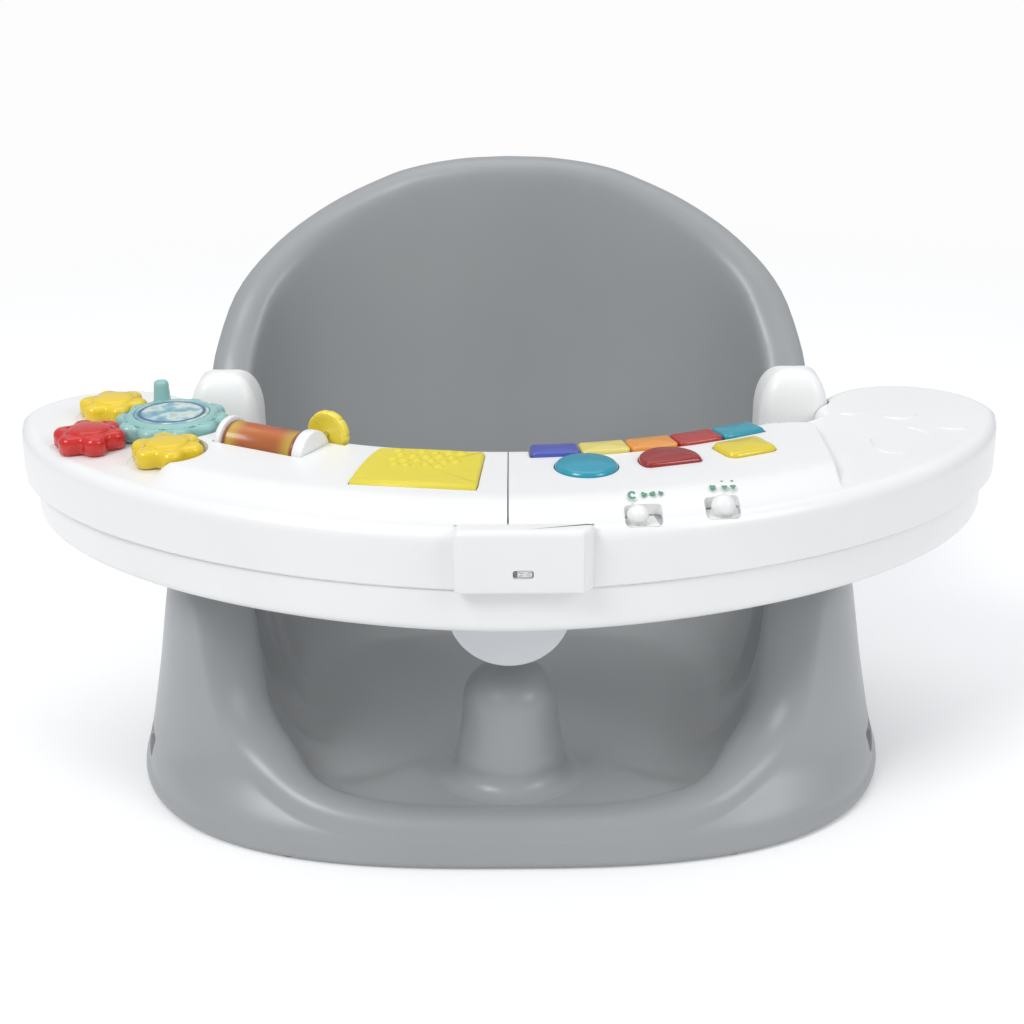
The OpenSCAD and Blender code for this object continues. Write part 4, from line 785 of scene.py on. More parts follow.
def make_lever():
    """The round tab, its two necks and its knuckles on the pin."""
    tab = Shape(shift(0, HINGE_Y, HINGE_Z - 9.5) @ spin(90, "X"))
    r, half = LEVER_R - 2.5, LEVER_T / 2
    outline = [(x, y - 2.5) for x, y in (polar(r, 180 + a) for a in range(0, 181, 3))]
    outline += [(r - 0.5, 0.4), (22, 2), (-22, 2), (-r + 0.5, 0.4)]
    rings = [at_z(inset(outline, 1.2), -half)]
    for k in range(5):
        c, s = polar(1, -90 + 45 * k)
        rings.append(at_z(inset(outline, 1.2 * (1 - c)), half * s))
    tab.loft(rings + [at_z(inset(outline, 1.6), half)])
    tab.place = shift(0, HINGE_Y, HINGE_Z)
    for x0 in (-20, 8):
        tab.box((x0, -half, -12), (x0 + 12, half, 0))
    for x0 in (-20, 7.8):
        tab.place = shift(x0, HINGE_Y, HINGE_Z) @ spin(90, "Y")
        tab.revolve([(1.9, 0), (3.2, 0.3), (3.2, 11.9), (1.9, 12.2)], 40)
    tab.piece("lever", LEVER_WHITE, "lever", "release_lever")


def dome_rings(outline, z0, base, rise):
    """Rings of a straight wall and the round dome above it."""
    rings = [at_z(outline, z0), at_z(outline, lerp(z0, base, 0.5)), at_z(outline, base)]
    for k in range(1, 15):
        c, s = polar(1, 6.3 * k)
        w = c ** 0.66
        rings.append([(x * w, y * w ** 1.1, base + rise * s) for x, y in outline])
    return rings


def make_clips():
    """Each ear is a hood with a domed top, on a foot that lies in the tray."""
    w = (CLIP_W - 5) / 2
    for s, node in ((-1, "arm_clip_left"), (1, "arm_clip_right")):
        shape = Shape(shift(s * CLIP_X, CLIP_Y + CLIP_L / 2))
        shape.loft(dome_rings(round_rect(CLIP_W, CLIP_L, (1.5, 1.5, 9, 9)), TRAY_Z + 0.3, CLIP_H - 27, 27),
                   last="point")
        hood = shape.make("hood", turned=True)
        hollow = Shape(shift(s * CLIP_X, CLIP_Y + 5 + CLIP_L / 2))
        hollow.loft(dome_rings(round_rect(2 * w, CLIP_L, 6), TRAY_Z - 1, CLIP_H - 33, 22), last="point")
        room = hollow.make("hollow", turned=True)
        mouth = box_cutter(shift(s * CLIP_X), (-w, CLIP_Y - 1, TRAY_Z - 1), (w, CLIP_Y + 9, TRAY_Z + 23))
        cut(hood, [room, mouth])
        feet = Shape(shift(s * CLIP_X))
        for x0, y0, size in ((16, -33, (56, 58, 5)), (CLIP_W / 2 + 12, 6, (26, 36, 4))):
            pillow(feet, [(s * x0 + x, y0 + y) for x, y in round_rect(*size)], DISH_Z, DISH_Z + 4, 0.8)
        foot = feet.make("clip_foot", turned=True)
        finish_piece(hood, CLIP_WHITE, "tray", node)
        finish_piece(foot, CLIP_WHITE, "tray")


# ---------------------------------------------------------------- toy module
SLOPE_START, SLOPE_RUN, BACK_RUN = 7, 23, 24
DECK_COLS, FRONT_COLS, MID_COLS = 42, 10, 18
END_X, END_Y, END_R = 165, -46.6, 8     # where the right console stops
BUTTON_BAY_Z, KEY_BAY_Z, CUT_TOP = DECK_UNDER - 9, CONSOLE_Z - 7, CONSOLE_Z + 20
ROLLER_PLACE = on_arc(ROLLER_A, ROLLER_RING, ROLLER_Z)
WHEEL_PLACE = ROLLER_PLACE @ Matrix.Translation((ROLLER_L / 2 + FIT + 3.3, WHEEL_N, WHEEL_Z - ROLLER_Z))
FLAP_PLACE = on_arc(FLAP_A, INNER_R + FLAP_MARGIN + FLAP_D, FLAP_Z)
GEAR_CENTRES = [(BIG_X, BIG_Y)]
GEAR_CENTRES += [(BIG_X + x, BIG_Y + y) for x, y in (polar(GEAR_PITCH, d) for d in GEAR_DIRS)]


def section_rise(i):
    """Height of the left console at a section of the crescent, which stops in a soft step."""
    return CONSOLE_H * (1 - ease((MAIN[i] - 0.94) / 0.055)) if i < len(MAIN) else 0.0


def console_end(x, y):
    """1 on the right console and 0 beyond its end, with a crisp step between."""
    dx, dy = x - (END_X - END_R), y - (END_Y - END_R)
    d = math.hypot(max(dx, 0), max(dy, 0)) + min(max(dx, dy), 0) - END_R
    return 1 - ease(d / 1.8 + 0.5)


def slope_rise(e):
    t = clamp((e - SLOPE_START) / SLOPE_RUN)
    return lerp(t, ease(t), 0.45)


def half_top(x0, mirror):
    """One half of the module's cover: its wall, its round rim and the deck with the console's slope."""
    shape = Shape(shift())

    def put(points):
        return [(-x if mirror else x, y, z) for x, y, z in points]

    def ring(d, z, start=x0):
        return at_z(half_outline(MODULE_W / 2, MODULE_D, LOBE_R, d, start), z)

    def rise(i, x, y):
        return section_rise(i) if mirror else CONSOLE_H * console_end(x, y)

    def lifted(points):
        half = len(points) // 2
        out = []
        for i, (x, y, z) in enumerate(points):
            up = 0 if i < half else rise(2 * half - 1 - i, x, y)
            out.append((x, y, z + up * clamp((z - MODULE_Z) / (RIM_Z - MODULE_Z))))
        return out

    inside = x0 + SHELL_T
    rings = [ring(SHELL_T + 4, DECK_UNDER, inside), ring(SHELL_T, DECK_UNDER - 5, inside),
             ring(SHELL_T, MODULE_Z, inside), ring(1.0, MODULE_Z), ring(0.2, MODULE_Z + 0.8),
             ring(0.1, MODULE_Z + 4), lifted(ring(0.1, RIM_Z - 9))]
    rings += [lifted(ring(0.1 + 6.9 * c, RIM_Z - 8 + 8 * s)) for c, s in quarter(10)]
    ids = shape.loft([put(r) for r in rings], None, None)
    cap_grid(shape, ids[0], False)
    rim, n = rings[-1], len(rings[-1])
    rows = []
    for i in range(n // 2):
        o, q = rim[i], rim[n - 1 - i]
        w = math.hypot(q[0] - o[0], q[1] - o[1])
        first, back = min(w * 0.4, SLOPE_RUN), min(w * 0.4, BACK_RUN)
        line = []
        for j in range(1, DECK_COLS):
            if j <= FRONT_COLS:
                s = first * j / FRONT_COLS
            elif j <= MID_COLS:
                s = lerp(first, w - back, (j - FRONT_COLS) / (MID_COLS - FRONT_COLS))
            else:
                s = lerp(w - back, w, (j - MID_COLS) / (DECK_COLS - MID_COLS))
            t = s / max(w, 1e-6)
            x, y = lerp(o[0], q[0], t), lerp(o[1], q[1], t)
            line.append((x, y, RIM_Z + rise(i, x, y) * slope_rise(s + SLOPE_START)))
        rows.append([ids[-1][i]] + shape.ring(put(line)) + [ids[-1][n - 1 - i]])
    for a, b in zip(rows, rows[1:]):
        shape.faces += [(a[j], b[j], b[j + 1], a[j + 1]) for j in range(DECK_COLS)]
    shape.faces += [tuple(rows[0]), tuple(rows[-1])]
    return shape.make("toy_top", sharp=40, turned=True)


def half_moon(r, corner):
    """A circle cut flat below, with its two corners eased."""
    cy = -r * 0.42 + corner
    cx = math.sqrt((r - corner) ** 2 - cy * cy)
    meet = math.degrees(math.atan2(cy, cx))
    pts = [polar(r, a) for a in np.linspace(meet, 180 - meet, 49)]
    for x0, turns in ((-cx, np.linspace(180 - meet, 270, 9)[1:]), (cx, np.linspace(270, 360 + meet, 9)[1:8])):
        pts += [(x0 + x, cy + y) for x, y in (polar(corner, a) for a in turns)]
    return pts


def sector(r0, r1, a0, a1, corner):
    """A rounded block that follows the inner edge, round the arc's centre, anticlockwise from above."""
    mid, half = (a0 + a1) / 2, rad(a1 - a0) / 2
    rm = (r0 + r1) / 2
    pts = [(u / rm, v) for u, v in round_rect(2 * half * rm, r1 - r0, corner, 5)]
    dense = []
    for p, q in zip(pts, pts[1:] + pts[:1]):
        steps = 6 if abs(q[0] - p[0]) * rm > 4 else 1
        dense += [(lerp(p[0], q[0], i / steps), lerp(p[1], q[1], i / steps)) for i in range(steps)]
    return [((rm - v) * math.sin(rad(mid) + u), -(rm - v) * math.cos(rad(mid) + u)) for u, v in dense]


def button_outlines(grow):
    """The three buttons' outlines, and how far each lies out from the ring."""
    return ((circle(BUTTON_R + grow), 0), (half_moon(BUTTON_R + grow, 3.2 + grow), 1.5),
            (round_rect(SQUARE_W + 2 * grow, SQUARE_D + 2 * grow, 5 + grow), 0))


def slanted(w, d, turn):
    """A slot's outline: its long sides follow the rim, and its short sides point straight back."""
    return [((u - 0.2) * math.cos(rad(turn)), (u - 0.2) * math.sin(rad(turn)) + v)
            for u, v in round_rect(w, d, min(2.6, d / 3))]


# small plain marks above the slots: (x, y, half width, "ring" or (sides, lean))
ICONS = ((59.6, -154.6, 2.2, "ring"), (65.2, -153.6, 1.35, (3, 60)), (69.6, -152.6, 1.35, (3, 0)),
         (73.4, -151.8, 1.1, (3, 60)), (99.2, -144.8, 1.5, (4, 0)), (105.0, -144.6, 1.25, (3, 90)),
         (109.2, -144.0, 1.25, (3, 90)), (104.4, -137.0, 0.6, (2, 90)), (109.4, -136.4, 0.6, (2, 90)))
# plain low ridges moulded on the right lobe
RELIEF = (((192.7, -58.7), (192.2, -68.3), (193.9, -76.1), (198.8, -80.3), (206.4, -79.5)),
          ((214.8, -39.4), (219.8, -42.4), (223.4, -47.2), (225.3, -52.8)),
          ((232.5, -39.7), (238.6, -43.2), (244.6, -42.4), (249.1, -38.4)),
          ((183.1, -14.6), (189.4, -16.9), (196.4, -13.2)),
          ((206.6, -20.4), (212.6, -24.6), (219.4, -24.2), (227.1, -17.3)))


def icon_outline(size, kind):
    if kind == "ring":
        turns = range(38, 323, 12)
        outer = [(x, 2.2 * y) for x, y in (polar(size, a) for a in turns)]
        return outer + [(0.5 * x, 1.3 * y) for x, y in (polar(size, a) for a in turns[::-1])]
    sides, lean = kind
    return [(x, 1.7 * y) for x, y in (polar(size * (1 - 0.24 * math.cos(rad(sides * (a - lean)))), a)
                                      for a in range(0, 360, 12))]


def ridge(shape, path, half=1.3, height=0.7):
    """A low rounded ridge on the lobe along a path, which thins out at both ends."""
    marks = [Vector(p) for p in path]
    line = []
    for k in range(len(marks) - 1):
        p0, p1, p2, p3 = marks[max(k - 1, 0)], marks[k], marks[k + 1], marks[min(k + 2, len(marks) - 1)]
        for t in (i / 8 for i in range(8)):
            line.append(0.5 * (2 * p1 + (p2 - p0) * t + (2 * p0 - 5 * p1 + 4 * p2 - p3) * t * t
                               + (3 * p1 - p0 - 3 * p2 + p3) * t ** 3))
    line.append(marks[-1])
    rings = []
    for k, p in enumerate(line):
        along = (line[min(k + 1, len(line) - 1)] - line[max(k - 1, 0)]).normalized()
        taper = math.sin(math.pi * lerp(0.06, 0.94, k / (len(line) - 1))) ** 0.6
        rings.append([(p.x - along.y * half * c, p.y + along.x * half * c, RIM_Z - 0.3 + (height + 0.3) * s)
                      for c, s in (polar(taper, a) for a in range(0, 181, 20))])
    shape.loft(rings)


def make_right_top():
    top = half_top(SEAM / 2, False)
    keys = sector(INNER_R - 4, KEY_R1 + FIT, KEY_A0 - KEY_BAY_GAP,
                  KEY_A0 + KEY_COUNT * KEY_STEP + KEY_BAY_GAP, 1.2)
    cutters = [notch_cutter(1, TRAY_Z), column_cutter(shift(0, INNER_CY), keys, KEY_BAY_Z, CUT_TOP)]
    for a, (outline, out) in zip(BUTTON_ANGLES, button_outlines(FIT)):
        cutters.append(column_cutter(on_arc(a, BUTTON_RING + out), outline, BUTTON_BAY_Z, CUT_TOP))
    wells = Shape()
    for x, y, turn, _, slot_w in KNOBS:
        slot = slanted(slot_w, 2 * KNOB_R + 4.8, turn)
        cutters.append(column_cutter(shift(x, y + 0.9), slot, DECK_UNDER - 3, CUT_TOP))
        for out, depth, top_z in ((2.4, 2 * KNOB_R + 5.8, DECK_UNDER - 2.5), (10.6, 1.6, DECK_UNDER)):
            wells.place = shift(x, y + out)
            pillow(wells, slanted(slot_w + 6, depth, turn), DECK_UNDER - 3.4, top_z, 0.3 if out < 10 else 0.2)
    cut(top, cutters, sharp=32)
    finish_piece(top, WHITE, "module", "toy_right_top")
    wells.piece("slot_wells", WHITE, "module", turned=False)
    icons = Shape()
    for x, y, size, kind in ICONS:
        icons.place = shift(x, y, CONSOLE_Z - 0.3)
        icons.column(icon_outline(size, kind), 0, 0.36)
    icons.piece("slot_icons", ICON, "module")
    relief = Shape(shift())
    for path in RELIEF:
        ridge(relief, path)
    relief.piece("lobe_relief", WHITE, "module", sharp=80)


def make_left_top():
    top = half_top(SEAM / 2, True)
    cutters = [notch_cutter(-1, TRAY_Z)]
    for (x, y), mean in zip(GEAR_CENTRES, (BIG_MEAN,) + 3 * (SMALL_MEAN,)):
        cutters.append(column_cutter(shift(x, y), circle(mean + LOBE + 1.5, 96), GEAR_Z - 0.5, GEAR_Z + 20))
    cutters.append(box_cutter(ROLLER_PLACE, (CRADLE_X0 - 0.3, -CHEEK_R - 0.8, -ROLLER_R - 3.3),
                              (CRADLE_X1 + 0.3, CHEEK_R + 0.8, 40)))
    cutters.append(box_cutter(WHEEL_PLACE, (-WHEEL_R - 1, -WHEEL_T, -WHEEL_R - 1.4),
                              (WHEEL_R + 1, 2 * WHEEL_T, 30)))
    cutters.append(column_cutter(FLAP_PLACE, flap_opening(0.5, FLAP_R + 0.3), -2.4, 30))
    cutters.append(box_cutter(FLAP_PLACE, (-FLAP_W0 / 2 - 0.4, -FLAP_R - 0.2, -FLAP_R - 0.3),
                              (FLAP_W0 / 2 + 0.4, FLAP_R + 0.4, 2)))
    cut(top, cutters, sharp=32)
    finish_piece(top, WHITE, "module", "toy_left_top")


def flap_opening(grow, front):
    """The leaf's bay seen from above: its pin side is low, and the child's side bows out."""
    w0, w1 = FLAP_W0 / 2 + grow, FLAP_W1 / 2 + grow
    pts = [(w0, -front), (w0, 0.01), (w1, FLAP_D - 3)]
    pts += [(x, FLAP_D + grow - x * x / FLAP_BOW) for x in np.linspace(FLAP_W1 / 2 - 2, -FLAP_W1 / 2 + 2, 12)]
    return pts + [(-w1, FLAP_D - 3), (-w0, 0.01), (-w0, -front)]


def flap_leaf():
    """The leaf with round corners and a left side that bows out a little."""
    w0, w1, corner = FLAP_W0 / 2, FLAP_W1 / 2, 2.6
    marks = [(w0, 0.5), (w1, FLAP_D)]
    marks += [(x, FLAP_D - x * x / FLAP_BOW) for x in np.linspace(w1 - 4, 4 - w1, 12)] + [(-w1, FLAP_D - 1.4)]
    marks += [(lerp(-w1, -w0, t) - 1.5 * math.sin(math.pi * t), FLAP_D * (1 - t))
              for t in (k / 6 for k in range(1, 6))]
    marks = [Vector(p) for p in marks + [(-w0, 0.5)]]
    pts = []
    for k, p in enumerate(marks):
        u, v = (marks[k - 1] - p).normalized(), (marks[(k + 1) % len(marks)] - p).normalized()
        if u.dot(v) < -0.7:
            pts.append(p)
        else:
            pts += [p + u * corner * (1 - t) ** 2 + v * corner * t ** 2 for t in (i / 6 for i in range(7))]
    dense = []
    for p, q in zip(pts, pts[1:] + pts[:1]):
        steps = max(int((q - p).length / 3), 1)
        dense += [tuple(p.lerp(q, i / steps)) for i in range(steps)]
    return dense


# --------------------------------------------------- gears, roller and wheel
def gear_skin(shape, mean, teeth, phase, rim, inner):
    """Bulging lobes with a round upper edge, then the given (radius, height) profile to the middle."""
    n = teeth * 24
    outline = []
    for k in range(n):
        a = 360 * k / n
        t = rad(teeth * (a - phase))
        wave = math.cos(t) - LOBE_FLAT * math.cos(2 * t) + LOBE_FLAT
        outline.append(polar(mean + LOBE * LOBE_SHARE * wave, a))
    rings = [at_z(inset(outline, 1.0), 0), at_z(outline, 1.0)]
    rings += [at_z(inset(outline, rim * c), GEAR_T - rim + rim * s) for c, s in quarter(8)]
    shape.loft(rings + [at_z(circle(r, n), GEAR_T + z) for r, z in inner], last="point")


def make_gears():
    dome = [(11.6, -0.5), (11.0, -0.2), (10.5, 0.5), (9.8, 1.0), (8.6, 1.3), (6.6, 1.65), (4.0, 1.9),
            (1.5, 2.0)]
    gears = (("gear_yellow_rear", "rear_gear", YELLOW), ("gear_red", "red_gear", RED),
             ("gear_yellow_front", "front_gear", YELLOW))
    for (x, y), d, (node, body, material) in zip(GEAR_CENTRES[1:], GEAR_DIRS, gears):
        shape = Shape(shift(x, y, GEAR_Z))
        phase = d + 180 + 180 / SMALL_TEETH + d * BIG_TEETH / SMALL_TEETH
        gear_skin(shape, SMALL_MEAN, SMALL_TEETH, phase, 3.4, dome)
        shape.piece(node + "_look", material, body, node, sharp=60, turned=False)
    shape = Shape(shift(BIG_X, BIG_Y, GEAR_Z))
    hub = [(25.2, -0.4), (24.4, -0.1), (23.8, 0.6), (23.2, 1.05), (22.4, 1.2), (21.0, 1.2), (20.6, 1.0),
           (20.4, 0.25), (18, 0.2)]
    gear_skin(shape, BIG_MEAN, BIG_TEETH, 0, 3.6, hub)
    shape.place = (shift(BIG_X, BIG_Y, GEAR_Z) @ spin(PEG_ANGLE, "Z")
                   @ Matrix.Translation((DISC_R + PEG_R + 0.7, 0, GEAR_T - 0.6)))
    peg = ((0.9, 0), (0.3, 0.9), (0, 2.0), (-0.25, 6), (-0.55, 10), (-0.8, 11.2), (-1.35, 11.9),
           (-2.0, 12.0), (-2.7, 11.6), (-3.6, 11.3))
    shape.revolve([(PEG_R + d, z) for d, z in peg] + [(0.01, 11.2)], 48)
    shape.piece("big_gear_look", TEAL, "big_gear", "big_gear", sharp=50, turned=False)
    centre = shift(BIG_X, BIG_Y, GEAR_Z + GEAR_T + 0.2)
    shape = Shape(centre)
    shape.revolve([(DISC_R, 0), (DISC_R, 0.6), (DISC_R - 0.2, 0.9), (DISC_R - 0.6, 1.0), (DISC_R * 0.6, 1.1),
                   (DISC_R * 0.3, 1.2), (0.01, 1.2)], 96)
    finish_piece(shape.make("disc_look", 50, centre.translation), LABEL, "big_gear", "gear_disc")


def both_ends(end, half):
    """A (radius, distance from the end) profile, used at both ends of a length."""
    return [(r, d - half) for r, d in end] + [(r, half - d) for r, d in end[::-1]]


def make_roller():
    local = Shape(spin(90, "Y"))
    end = [(3.1, 0), (ROLLER_R - 1.2, 0), (ROLLER_R - 0.4, 0.3), (ROLLER_R, 1.1), (ROLLER_R, 2.6),
           (ROLLER_R - 0.25, 3.0)]
    local.revolve(both_ends(end, ROLLER_L / 2), 96)
    roller = local.make("roller_look", sharp=50)
    roller.matrix_world = (Matrix.Translation(ROLLER_PLACE.translation * MM)
                           @ ROLLER_PLACE.to_quaternion().to_matrix().to_4x4())
    bpy.context.view_layer.update()
    finish_piece(roller, AMBER, "roller", "bead_roller")


def make_cradle():
    tray = Shape(ROLLER_PLACE)
    tray.box((CRADLE_X0, -CHEEK_R - 0.5, -ROLLER_R - 3), (CRADLE_X1, CHEEK_R + 0.5, 2))
    body = tray.make("cradle_tray")
    x1 = ROLLER_L / 2 + FIT
    cut(body, [box_cutter(ROLLER_PLACE, (-x1, -ROLLER_R - 0.5, -ROLLER_R - 0.8), (x1, ROLLER_R + 0.5, 20))])
    finish_piece(body, WHITE, "module", "roller_cradle")
    cheeks = Shape()
    outline = [polar(CHEEK_R, a) for a in range(0, 181, 4)] + [(-CHEEK_R, -10), (CHEEK_R, -10)]
    for low, thick in ((CRADLE_X0, CHEEK_LEFT), (CRADLE_X1 - CHEEK_RIGHT, CHEEK_RIGHT)):
        cheeks.place = ROLLER_PLACE @ Matrix.Translation((low, 0, 0)) @ spin(90, "Z") @ spin(90, "X")
        edge = ((0.8, 0), (0.25, 0.25), (0, 0.8))
        cheeks.loft([at_z(inset(outline, d), z) for d, z in edge]
                    + [at_z(inset(outline, d), thick - z) for d, z in edge[::-1]])
    cheeks.piece("cradle_cheeks", WHITE, "module", sharp=50)


def make_wheel():
    """A round-edged disc with eight soft dips for clicking."""
    shape = Shape(WHEEL_PLACE @ spin(-90, "X"))
    half, step, depth, spread, dips = WHEEL_T / 2, 360 / 8, 0.5, 3.4, []
    for k in range(192):
        a = 360 * k / 192
        near = abs((a + step / 2) % step - step / 2)
        dips.append((a, WHEEL_R - depth * math.exp(-((near / spread) ** 2))))
    rings = [(4.0, -half + 0.5), (3.2, -half), (0.9, -half)]
    rings += [(0.9 * (1 - c), half * s * 0.98) for c, s in (polar(1, -90 + 30 * k) for k in range(7))]
    rings += [(3.2, half), (4.0, half - 0.5)]
    shape.loft([at_z([polar(r - d, a) for a, r in dips], z) for d, z in rings], "point", "point")
    shape.piece("wheel_look", WHEEL_YELLOW, "wheel", "click_wheel", sharp=50, turned=False)


FLAP_BUMPS = ((-14.5, -8.2, 1.5, 8.0), (-17.0, -10.6, -4.2, 3.2, 9.8, 15.4), (-13.8, -7.4, -0.6, 6.0, 12.4),
              (-16.4, -4.0, 2.8, 10.0, 16.0))


def make_flap():
    shape = Shape(FLAP_PLACE)
    pillow(shape, flap_leaf(), -1.8, FLAP_R, 1.5)
    shape.place = FLAP_PLACE @ spin(90, "Y")
    shape.revolve(both_ends([(1.5, 0), (FLAP_R - 0.6, 0), (FLAP_R, 0.6)], FLAP_W0 / 2), 48)
    bump = ((1, 0), (0.9, 0.5), (0.7, 1.0), (0.44, 1.35), (0.18, 1.48))
    for j, row in enumerate(FLAP_BUMPS):
        for k, x in enumerate(row):
            r = 2.9 + 0.35 * math.sin(5.0 * k + 2.2 * j)
            y = FLAP_D - 25 + 6.4 * j + 0.9 * math.sin(4.0 * k + j)
            shape.place = FLAP_PLACE @ Matrix.Translation((x, y, FLAP_R - 0.3))
            shape.revolve([(r * share, z) for share, z in bump] + [(0.01, 1.5)], 24)
    shape.piece("flap_look", FLAP_YELLOW, "flap", "flap", sharp=45)


# -------------------------------------------------- keys, buttons and knobs
def make_keys():
    for i, material in enumerate(KEYS):
        a0, name = KEY_A0 + i * KEY_STEP, "key_%d" % (i + 1)
        shape = Shape(shift(0, INNER_CY))
        outline = sector(KEY_R0, KEY_R1, a0 + KEY_GAP, a0 + KEY_STEP - KEY_GAP, 2.4)
        pillow(shape, outline, CONSOLE_Z - 4, CONSOLE_Z + 2.2, 1.7, 0.5)
        shape.piece(name + "_look", material, name, name, sharp=60)


def make_buttons():
    edges = ((3.2, 1.2), (2.4, 0.9), (2.6, 0.9))
    names = ("button_round", "button_half", "button_square")
    caps = zip(names, BUTTONS, BUTTON_ANGLES, button_outlines(0), edges)
    for name, material, a, (outline, out), edge in caps:
        shape = Shape(on_arc(a, BUTTON_RING + out))
        pillow(shape, outline, DECK_UNDER - 1, CONSOLE_Z + 2.6, *edge)
        shape.piece(name + "_look", material, name, name, sharp=60)


def make_knobs():
    """A ball on a short neck, over a plate below the slot."""
    for (x, y, turn, offset, _), node in zip(KNOBS, ("speed_knob", "mode_knob")):
        shape = Shape(shift(x, y, 0, turn) @ Matrix.Translation((offset, 0, 0)))
        shape.box((-10, -KNOB_R + 1, DECK_UNDER - 2.3), (10, KNOB_R + 2.5, DECK_UNDER - 0.3))
        ball, middle, neck = (KNOB_R - 0.6 if offset else KNOB_R), RIM_Z + 1.3, KNOB_R - 1.2
        profile = [(neck, DECK_UNDER - 0.5), (neck, middle - 5)]
        profile += [(r, middle + z) for r, z in (polar(ball, t) for t in range(-48, 90, 6))]
        shape.revolve(profile + [(0.01, middle + ball)])
        shape.piece(node + "_look", KNOB_WHITE, node, node, sharp=50)


# -------------------------------------------------------------- latch cover
def make_latch():
    z0, z1 = MODULE_Z + 1, RIM_Z + 2.5
    front, back = -LATCH_FRONT, 13 - LATCH_FRONT
    left, right = LATCH_X - LATCH_W / 2, LATCH_X + LATCH_W / 2
    outline = [(right, back), (left, back), (left, lerp(back, front + 5, 0.5)), (left, front + 5)]
    outline += [(left + 4 + x, front + 4 + y) for x, y in (polar(4, 180 + t) for t in range(15, 90, 15))]
    outline += [(lerp(left + 4, right - 5.2, k / 12), front) for k in range(13)]
    outline += [(right - 2.5, front + 3.6), (right, front + 7.2), (right, lerp(front + 7.2, back, 0.5))]
    shape = Shape(shift())
    low_edge, top_edge = 1.6, 3.4
    rings = [at_z(inset(outline, low_edge * (1 - s)), z0 + low_edge * c) for c, s in quarter(5)]
    rings += [at_z(inset(outline, top_edge * c), z1 - top_edge + top_edge * s) for c, s in quarter(9)]
    shape.loft(rings)
    block = shape.make("latch_block", sharp=45, turned=True)
    window_z = WINDOW_Z + WINDOW_H / 2
    hole = shift(LATCH_X - 0.5, front + 1, window_z) @ spin(90, "X")
    cut(block, [column_cutter(hole, round_rect(WINDOW_W, WINDOW_H, 1.1), -3.6, 3)])
    finish_piece(block, WHITE, "module", "latch_cover")
    slider = Shape(shift(LATCH_X + 0.3, front + 1.7, window_z) @ spin(90, "X"))
    pillow(slider, round_rect(WINDOW_W - 2.4, WINDOW_H - 0.7, 0.8), -2.2, 0.9, 0.5, 0.2)
    slider.piece("slider_look", LEVER_WHITE, "latch", "latch_slider")


for make in (make_seat, make_tray, make_lever, make_clips, make_right_top, make_left_top, make_gears,
             make_roller, make_cradle, make_wheel, make_flap, make_keys, make_buttons, make_knobs,
             make_latch):
    make()


# ------------------------------------------------------ floor, light, camera
def make_floor():
    """A pale round floor that fades out at its edge."""
    bpy.ops.mesh.primitive_circle_add(vertices=128, radius=2.6, fill_type="NGON", location=(0, 0, 0))
    floor = bpy.context.object
    floor.name = "floor"
    mat = bpy.data.materials.new("floor_white")
    mat.use_nodes = True
    tree = mat.node_tree
    bsdf = tree.nodes["Principled BSDF"]
    feed(tree, bsdf, {"Base Color": (0.93, 0.93, 0.93, 1), "Roughness": 0.9, "Specular IOR Level": 0.1})
    away = node_of(tree, "ShaderNodeVectorMath", {0: coords_of(tree)}, operation="LENGTH").outputs["Value"]
    fade = node_of(tree, "ShaderNodeMapRange", {"From Min": 0.5, "From Max": 1.5, "Value": away},
                   interpolation_type="SMOOTHSTEP")
    seen = seen_by(tree, "Is Camera Ray", "Is Glossy Ray")
    lift = node_of(tree, "ShaderNodeMath", {0: seen, 1: 0.14}, operation="MULTIPLY")
    glow = node_of(tree, "ShaderNodeEmission", {"Strength": lift.outputs[0]})
    both = node_of(tree, "ShaderNodeAddShader", {0: bsdf.outputs[0], 1: glow.outputs[0]})
    clear = node_of(tree, "ShaderNodeBsdfTransparent")
    mix = node_of(tree, "ShaderNodeMixShader", {0: fade.outputs["Result"], 1: both.outputs[0],
                                                2: clear.outputs[0]})
    feed(tree, tree.nodes["Material Output"], {"Surface": mix.outputs[0]})
    floor.data.materials.append(mat)


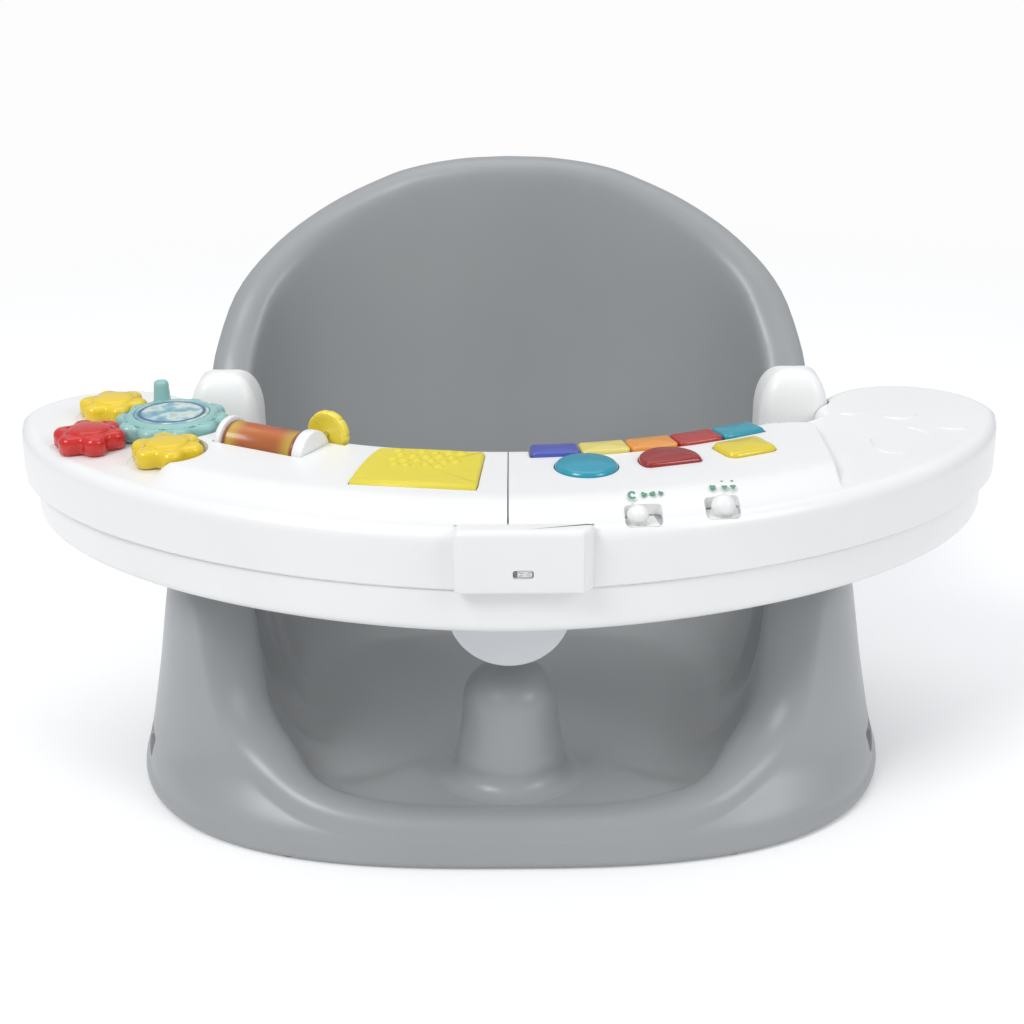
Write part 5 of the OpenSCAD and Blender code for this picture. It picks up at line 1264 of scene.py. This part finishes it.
def area_light(name, place, size, power):
    """A soft lamp that faces the middle of the seat."""
    data = bpy.data.lights.new(name, "AREA")
    data.shape = "RECTANGLE"
    data.size, data.size_y = size
    data.energy = power
    light = bpy.data.objects.new(name, data)
    bpy.context.scene.collection.objects.link(light)
    light.location = place
    light.rotation_mode = "QUATERNION"
    light.rotation_quaternion = (Vector((0, 0, 0.15)) - Vector(place)).to_track_quat("-Z", "Y")


def make_world():
    """A bluish light all round, which the camera sees as white."""
    world = bpy.data.worlds.new("studio")
    bpy.context.scene.world = world
    world.use_nodes = True
    tree = world.node_tree
    tree.nodes.clear()
    lit = node_of(tree, "ShaderNodeBackground", {"Color": (0.92, 0.95, 1.0, 1), "Strength": 0.55})
    shown = node_of(tree, "ShaderNodeBackground", {"Color": (0.98, 0.98, 0.98, 1), "Strength": 1.0})
    seen = seen_by(tree, "Is Camera Ray", "Is Transmission Ray")
    mix = node_of(tree, "ShaderNodeMixShader", {0: seen, 1: lit.outputs[0], 2: shown.outputs[0]})
    node_of(tree, "ShaderNodeOutputWorld", {"Surface": mix.outputs[0]})


def make_camera():
    """The camera that was fitted to the outlines in the photograph."""
    tilt, yaw, roll = 0.3773, -0.0043, -0.0079
    away, height, lens, frame_shift = 938.6, 495.2, 61.56, 0.00244

    def world(x, y, z):
        c, s = math.cos(yaw), math.sin(yaw)
        return Vector((x * c + y * s, -x * s + y * c, z))

    right, up = world(1, 0, 0), world(0, math.sin(tilt), math.cos(tilt))
    ahead = world(0, math.cos(tilt), -math.sin(tilt))
    cam_right = math.cos(roll) * right + math.sin(roll) * up
    cam_up = -math.sin(roll) * right + math.cos(roll) * up
    data = bpy.data.cameras.new("camera")
    data.lens = lens
    data.sensor_width = 36
    data.shift_x = frame_shift
    data.clip_start, data.clip_end = 0.05, 50
    camera = bpy.data.objects.new("camera", data)
    bpy.context.scene.collection.objects.link(camera)
    turn = Matrix((cam_right, cam_up, -ahead)).transposed().to_4x4()
    place = world(0, -away, height) + Vector((0, WIDEST_Y, 0))
    camera.matrix_world = Matrix.Translation(place * MM) @ turn
    bpy.context.scene.camera = camera


make_floor()
area_light("key", (-1.5, -1.4, 2.3), (1.1, 1.1), 34)
area_light("fill", (1.8, -1.3, 1.6), (0.9, 1.2), 14)
area_light("top", (0, 0.5, 2.6), (2.4, 2.0), 17)
make_world()
make_camera()
bpy.context.scene.view_settings.view_transform = "Standard"
